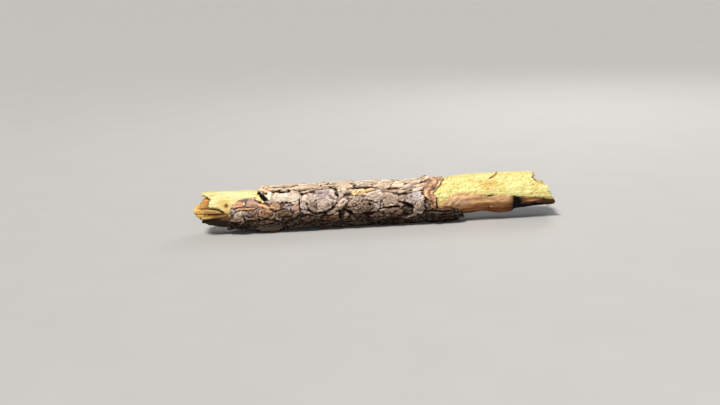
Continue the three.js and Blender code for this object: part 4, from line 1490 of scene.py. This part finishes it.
def finishInnerBark():
    skin = Finish("inner bark", roughness=0.75, specular=0.12)
    fibre = skin.noise(1.3, 5.0, 0.65, skin.stretched(0.13, 5.0), 1.4)
    broad = skin.noise(5.0, 4.0, 0.6, skin.stretched(0.35, 12.0), 1.2)
    colour = skin.markColour("tint")
    for pattern, start, end, amount, tint in (
            (fibre, 0.5, 0.66, 0.55, (1.9, 1.75, 1.6)), (fibre, 0.48, 0.36, 0.7, (0.42, 0.35, 0.29)),
            (broad, 0.52, 0.66, 0.45, (1.6, 1.45, 1.3)), (broad, 0.46, 0.36, 0.5, (0.5, 0.43, 0.37))):
        colour = skin.mix(pattern.between(start, end) * amount, colour, skin.times(colour, tint))
    skin.colour(colour)
    skin.relief(fibre * 0.7 + broad * 0.6, 0.5, 0.9)
    return skin.material


def makeInnerBark():
    along = np.linspace(0, 1, innerBark["alongSteps"] + 1)[:, None]
    across = np.linspace(0, 1, innerBark["aroundSteps"] + 1)[None, :] ** 0.85
    x = blend(innerBark["start"], innerBark["reach"], along) + 0 * across

    def wander(size, seed, layers):
        line = np.stack([x[:, :1], 0 * x[:, :1], 0 * x[:, :1]], axis=-1)
        return rough(line, (size, 1, 1), seed, layers)

    edge = follow(innerBark["frontEdge"], x[:, :1]) + 3.5 * wander(7.0, 61, 2) + 4.5 * wander(1.8, 68, 2)
    back = innerBark["backEdge"] + 6.0 * wander(9.0, 62, 4)
    around = blend(back, edge, across)
    short = follow(rightTear["shell"], fromBelow(around))
    ragged = 1.6 * rough(np.stack([0 * x, around * 0.3, 0 * x], -1), 2.4, 63, 3)
    end = np.minimum(stick["right"] - np.maximum(short, 0.8) - 0.3 + ragged, innerBark["end"])
    x = x - ease(140.0, innerBark["reach"], x) * (innerBark["reach"] - end)
    # the ragged edge runs out in threads along the stick
    fray = 2.2 * bumps(np.stack([x, around * 0.5, 0 * x], -1), (6.0, 1.2, 1), 69)
    x = x + fray * ease(0.9, 1.0, across) * ease(55.0, 60.0, x) * ease(150.0, 140.0, x)
    flat = onStick(x, around, stick["radius"])
    relief = 0.45 * rough(flat, (16.0, 2.6, 2.6), 64, 3) + 0.35 * bumps(flat, (22.0, 8.0, 8.0), 65)
    radius = woodRadius(x, around) + stick["gap"] + innerBark["thick"] + 0.3 + relief - endTaper(x, around)
    fromEdge = (edge - around) * degree * stick["radius"]
    lifted = 0.7 * np.clip(bumps(flat, (9.0, 5.0, 5.0), 70), 0, 1)
    radius = radius + lifted * hump(fromEdge, 2.2) - 0.25 * hump(fromEdge, 0.5)
    colour = paintSkin(x, around, fromEdge)
    piece = rollSheet("inner_bark_skin", onStick(x, around, radius), {"tint": colour})
    applyModifier(piece, "SOLIDIFY", thickness=innerBark["thick"] * metre, offset=-1.0)
    tidyMesh(piece)
    handOver(piece, finishInnerBark(), "inner_bark")


makeInnerBark()
print("inner bark is in")


# Loose scales: thin flakes that have come up from the bark at one edge
# x, angle round, half length, half width, turn, thickness, lift right, lift up, curl, tint
shownFlakes = [
    (-50.7, 84, 8, 2.2, 30, 0.6, 1.5, 0, 0.3, "cream"),
    (-27.9, 80, 10.5, 5.6, 6, 0.7, 1.6, 0.3, 0.4, "cream"),
    (8.4, 64, 8.6, 4.2, -2, 0.6, 1.1, 0.1, 0.2, "cream"),
    (34.6, 82, 12, 1.9, 24, 0.5, 1.7, 0.2, 0.2, "cream"),
    (38.2, 43, 5.2, 1.9, 10, 0.6, 0.2, -0.7, 0.2, "white"),
    (38.5, -10, 4.6, 4.4, -12, 0.9, 0.3, -1.3, 0.4, "silver"),
    (-8.6, 73, 9.2, 2.8, -3, 0.6, 0.6, 0.2, 0.2, "silver"),
    (-76.6, 40, 12, 4.6, 1, 0.6, 0.3, -0.4, 0.2, "white"),
    (46.1, -34, 8, 4.4, -6, 1.2, 0.7, -0.6, 0.3, "earth"),
    (-93.3, -54, 11, 3.4, -4, 0.7, -0.6, -0.7, 0.3, "grey"),
    (28.4, -38, 9, 1.4, 30, 0.9, 0.5, 0.3, 0.2, "white"),
]


def looseFlakes(random):
    made = []
    for _ in range(120):
        around = random.uniform(-75, 255)
        x = random.uniform(-122, 56)
        front = -40 < around < 104
        long = random.uniform(3.0, 5.5) if front else random.uniform(3.0, 10.0)
        first = follow(bark["leftEdge"], around) + long
        last = follow(bark["rightEdge"], around) - long - 12 * front
        offHole = abs(x - twigHole["x"]) > 16 or abs(turned(around - twigHole["around"])) > 50
        if not (first < x < last and offHole) or front and random.uniform() < 0.5:
            continue
        height = math.sin(around * degree)
        choices = ["grey", "dusk", "silver", "dusk"]
        if height > 0.5:
            choices = ["silver", "grey", "lilac", "cream"]
        elif height < -0.3:
            choices = ["umber", "dusk", "earth"]
        wide, turn = long * random.uniform(0.25, 0.55), random.uniform(-28, 28)
        thick = random.uniform(0.35, 0.7)
        lifts = random.uniform(-0.9, 1.3), random.uniform(-1.0, 0.4)
        curl = random.uniform(0.1, 0.4)
        made.append((x, around, long, wide, turn, thick, *lifts, curl, pick(random, choices)))
    # none lies on a ringed knot
    return [flake for flake in made
            if all(abs(flake[0] - at) > 8 or abs(flake[1] - angle) > 24 for at, angle, _ in knots)]


def barkHeightAt(field, soft, x, around):
    count = bark["aroundSteps"]
    column = np.rint((fromBelow(around) + 90) / 360 * count).astype(int) % count
    left, right = field["left"][column], field["right"][column]
    row = np.rint((x - left) / (right - left) * bark["alongSteps"]).astype(int)
    return soft[np.clip(row, 0, bark["alongSteps"]), column]


def makeFlake(field, soft, flake, random, number):
    x, around, long, wide, turn, thick, liftRight, liftUp, curl, tint = flake
    alongSteps, acrossSteps = int(8 + long * 2.2), int(6 + wide * 2.4)
    s = np.linspace(-1, 1, alongSteps + 1)[:, None] + np.zeros(acrossSteps + 1)
    t = np.linspace(-1, 1, acrossSteps + 1)[None, :] + np.zeros((alongSteps + 1, 1))
    a = s * np.sqrt(1 - 0.42 * t ** 2)
    b = t * np.sqrt(1 - 0.42 * s ** 2)
    bearing = np.arctan2(b, a)
    reach = np.maximum(np.abs(s), np.abs(t))
    outline = np.ones(s.shape)
    for lobes in range(2, 10):
        lobe = random.uniform(-0.3, 0.3) / lobes * np.cos(lobes * bearing + random.uniform(0, 6.3))
        outline += lobe * reach
    flat = np.stack([a * long, b * wide, 0 * a + 7 * number], axis=-1)
    jag = bumps(flat, 2.4, 101) + 0.6 * bumps(flat, 1.1, 102)
    a = a * long * outline + 0.8 * jag * reach ** 2
    b = b * wide * outline + 0.6 * jag * reach ** 2
    cos, sin = math.cos(turn * degree), math.sin(turn * degree)
    atX = x + a * cos - b * sin
    atAround = around + (a * sin + b * cos) / bark["middle"] / degree
    lift = liftRight * s * np.abs(s) + liftUp * t * np.abs(t)
    lift = np.where(lift > 0, lift * (1 + curl), lift * 0.9)
    wave = 0.35 * bumps(flat, (6.0, 3.0, 3.0), 103) + 0.2 * bumps(flat, (3.0, 1.3, 1.3), 104)
    sunk = -0.5 * reach ** 3 * (lift < 0.15)
    height = barkHeightAt(field, soft, atX, atAround) + 0.35 + lift + wave + sunk
    points = onStick(atX, atAround, barkRoot(atX, atAround) + height)
    points[..., 2] = np.maximum(points[..., 2], 0.9)
    # darker underneath, as on the bark: painted shade, with random changes of tone
    shade = 1 - 0.62 * np.clip(lowDown(fromBelow(atAround), 20.0, 170.0), 0, 1)
    shade = shade + 0.2 * bumps(flat, 3.0, 105) + 0.15 * bumps(flat, (5.0, 1.0, 1.0), 106)
    marks = {
        "tint": tints[tint] * shade[..., None],
        "edge": ease(0.75, 1.0, reach),
        "relief": np.clip(wave * 1.2, -1, 1),
        "broad": np.zeros(s.shape) + 0.1,
        "cover": np.ones(s.shape),
        "calm": np.zeros(s.shape) + 0.5,
        "dark": np.zeros(s.shape),
    }
    piece = rollSheet("flake", points, marks)
    applyModifier(piece, "SOLIDIFY", thickness=thick * metre, offset=-1.0)
    return piece


def makeFlakes(field):
    random = np.random.default_rng(29)
    soft = soften(field["height"].reshape(field["shape"]), 2)
    flakes = enumerate([*shownFlakes, *looseFlakes(random)])
    made = [makeFlake(field, soft, flake, random, number) for number, flake in flakes]
    piece = joinAll(made, "bark_flakes")
    tidyMesh(piece)
    handOver(piece, bpy.data.materials["flaking bark"])


makeFlakes(barkField)
print("loose scales are on")
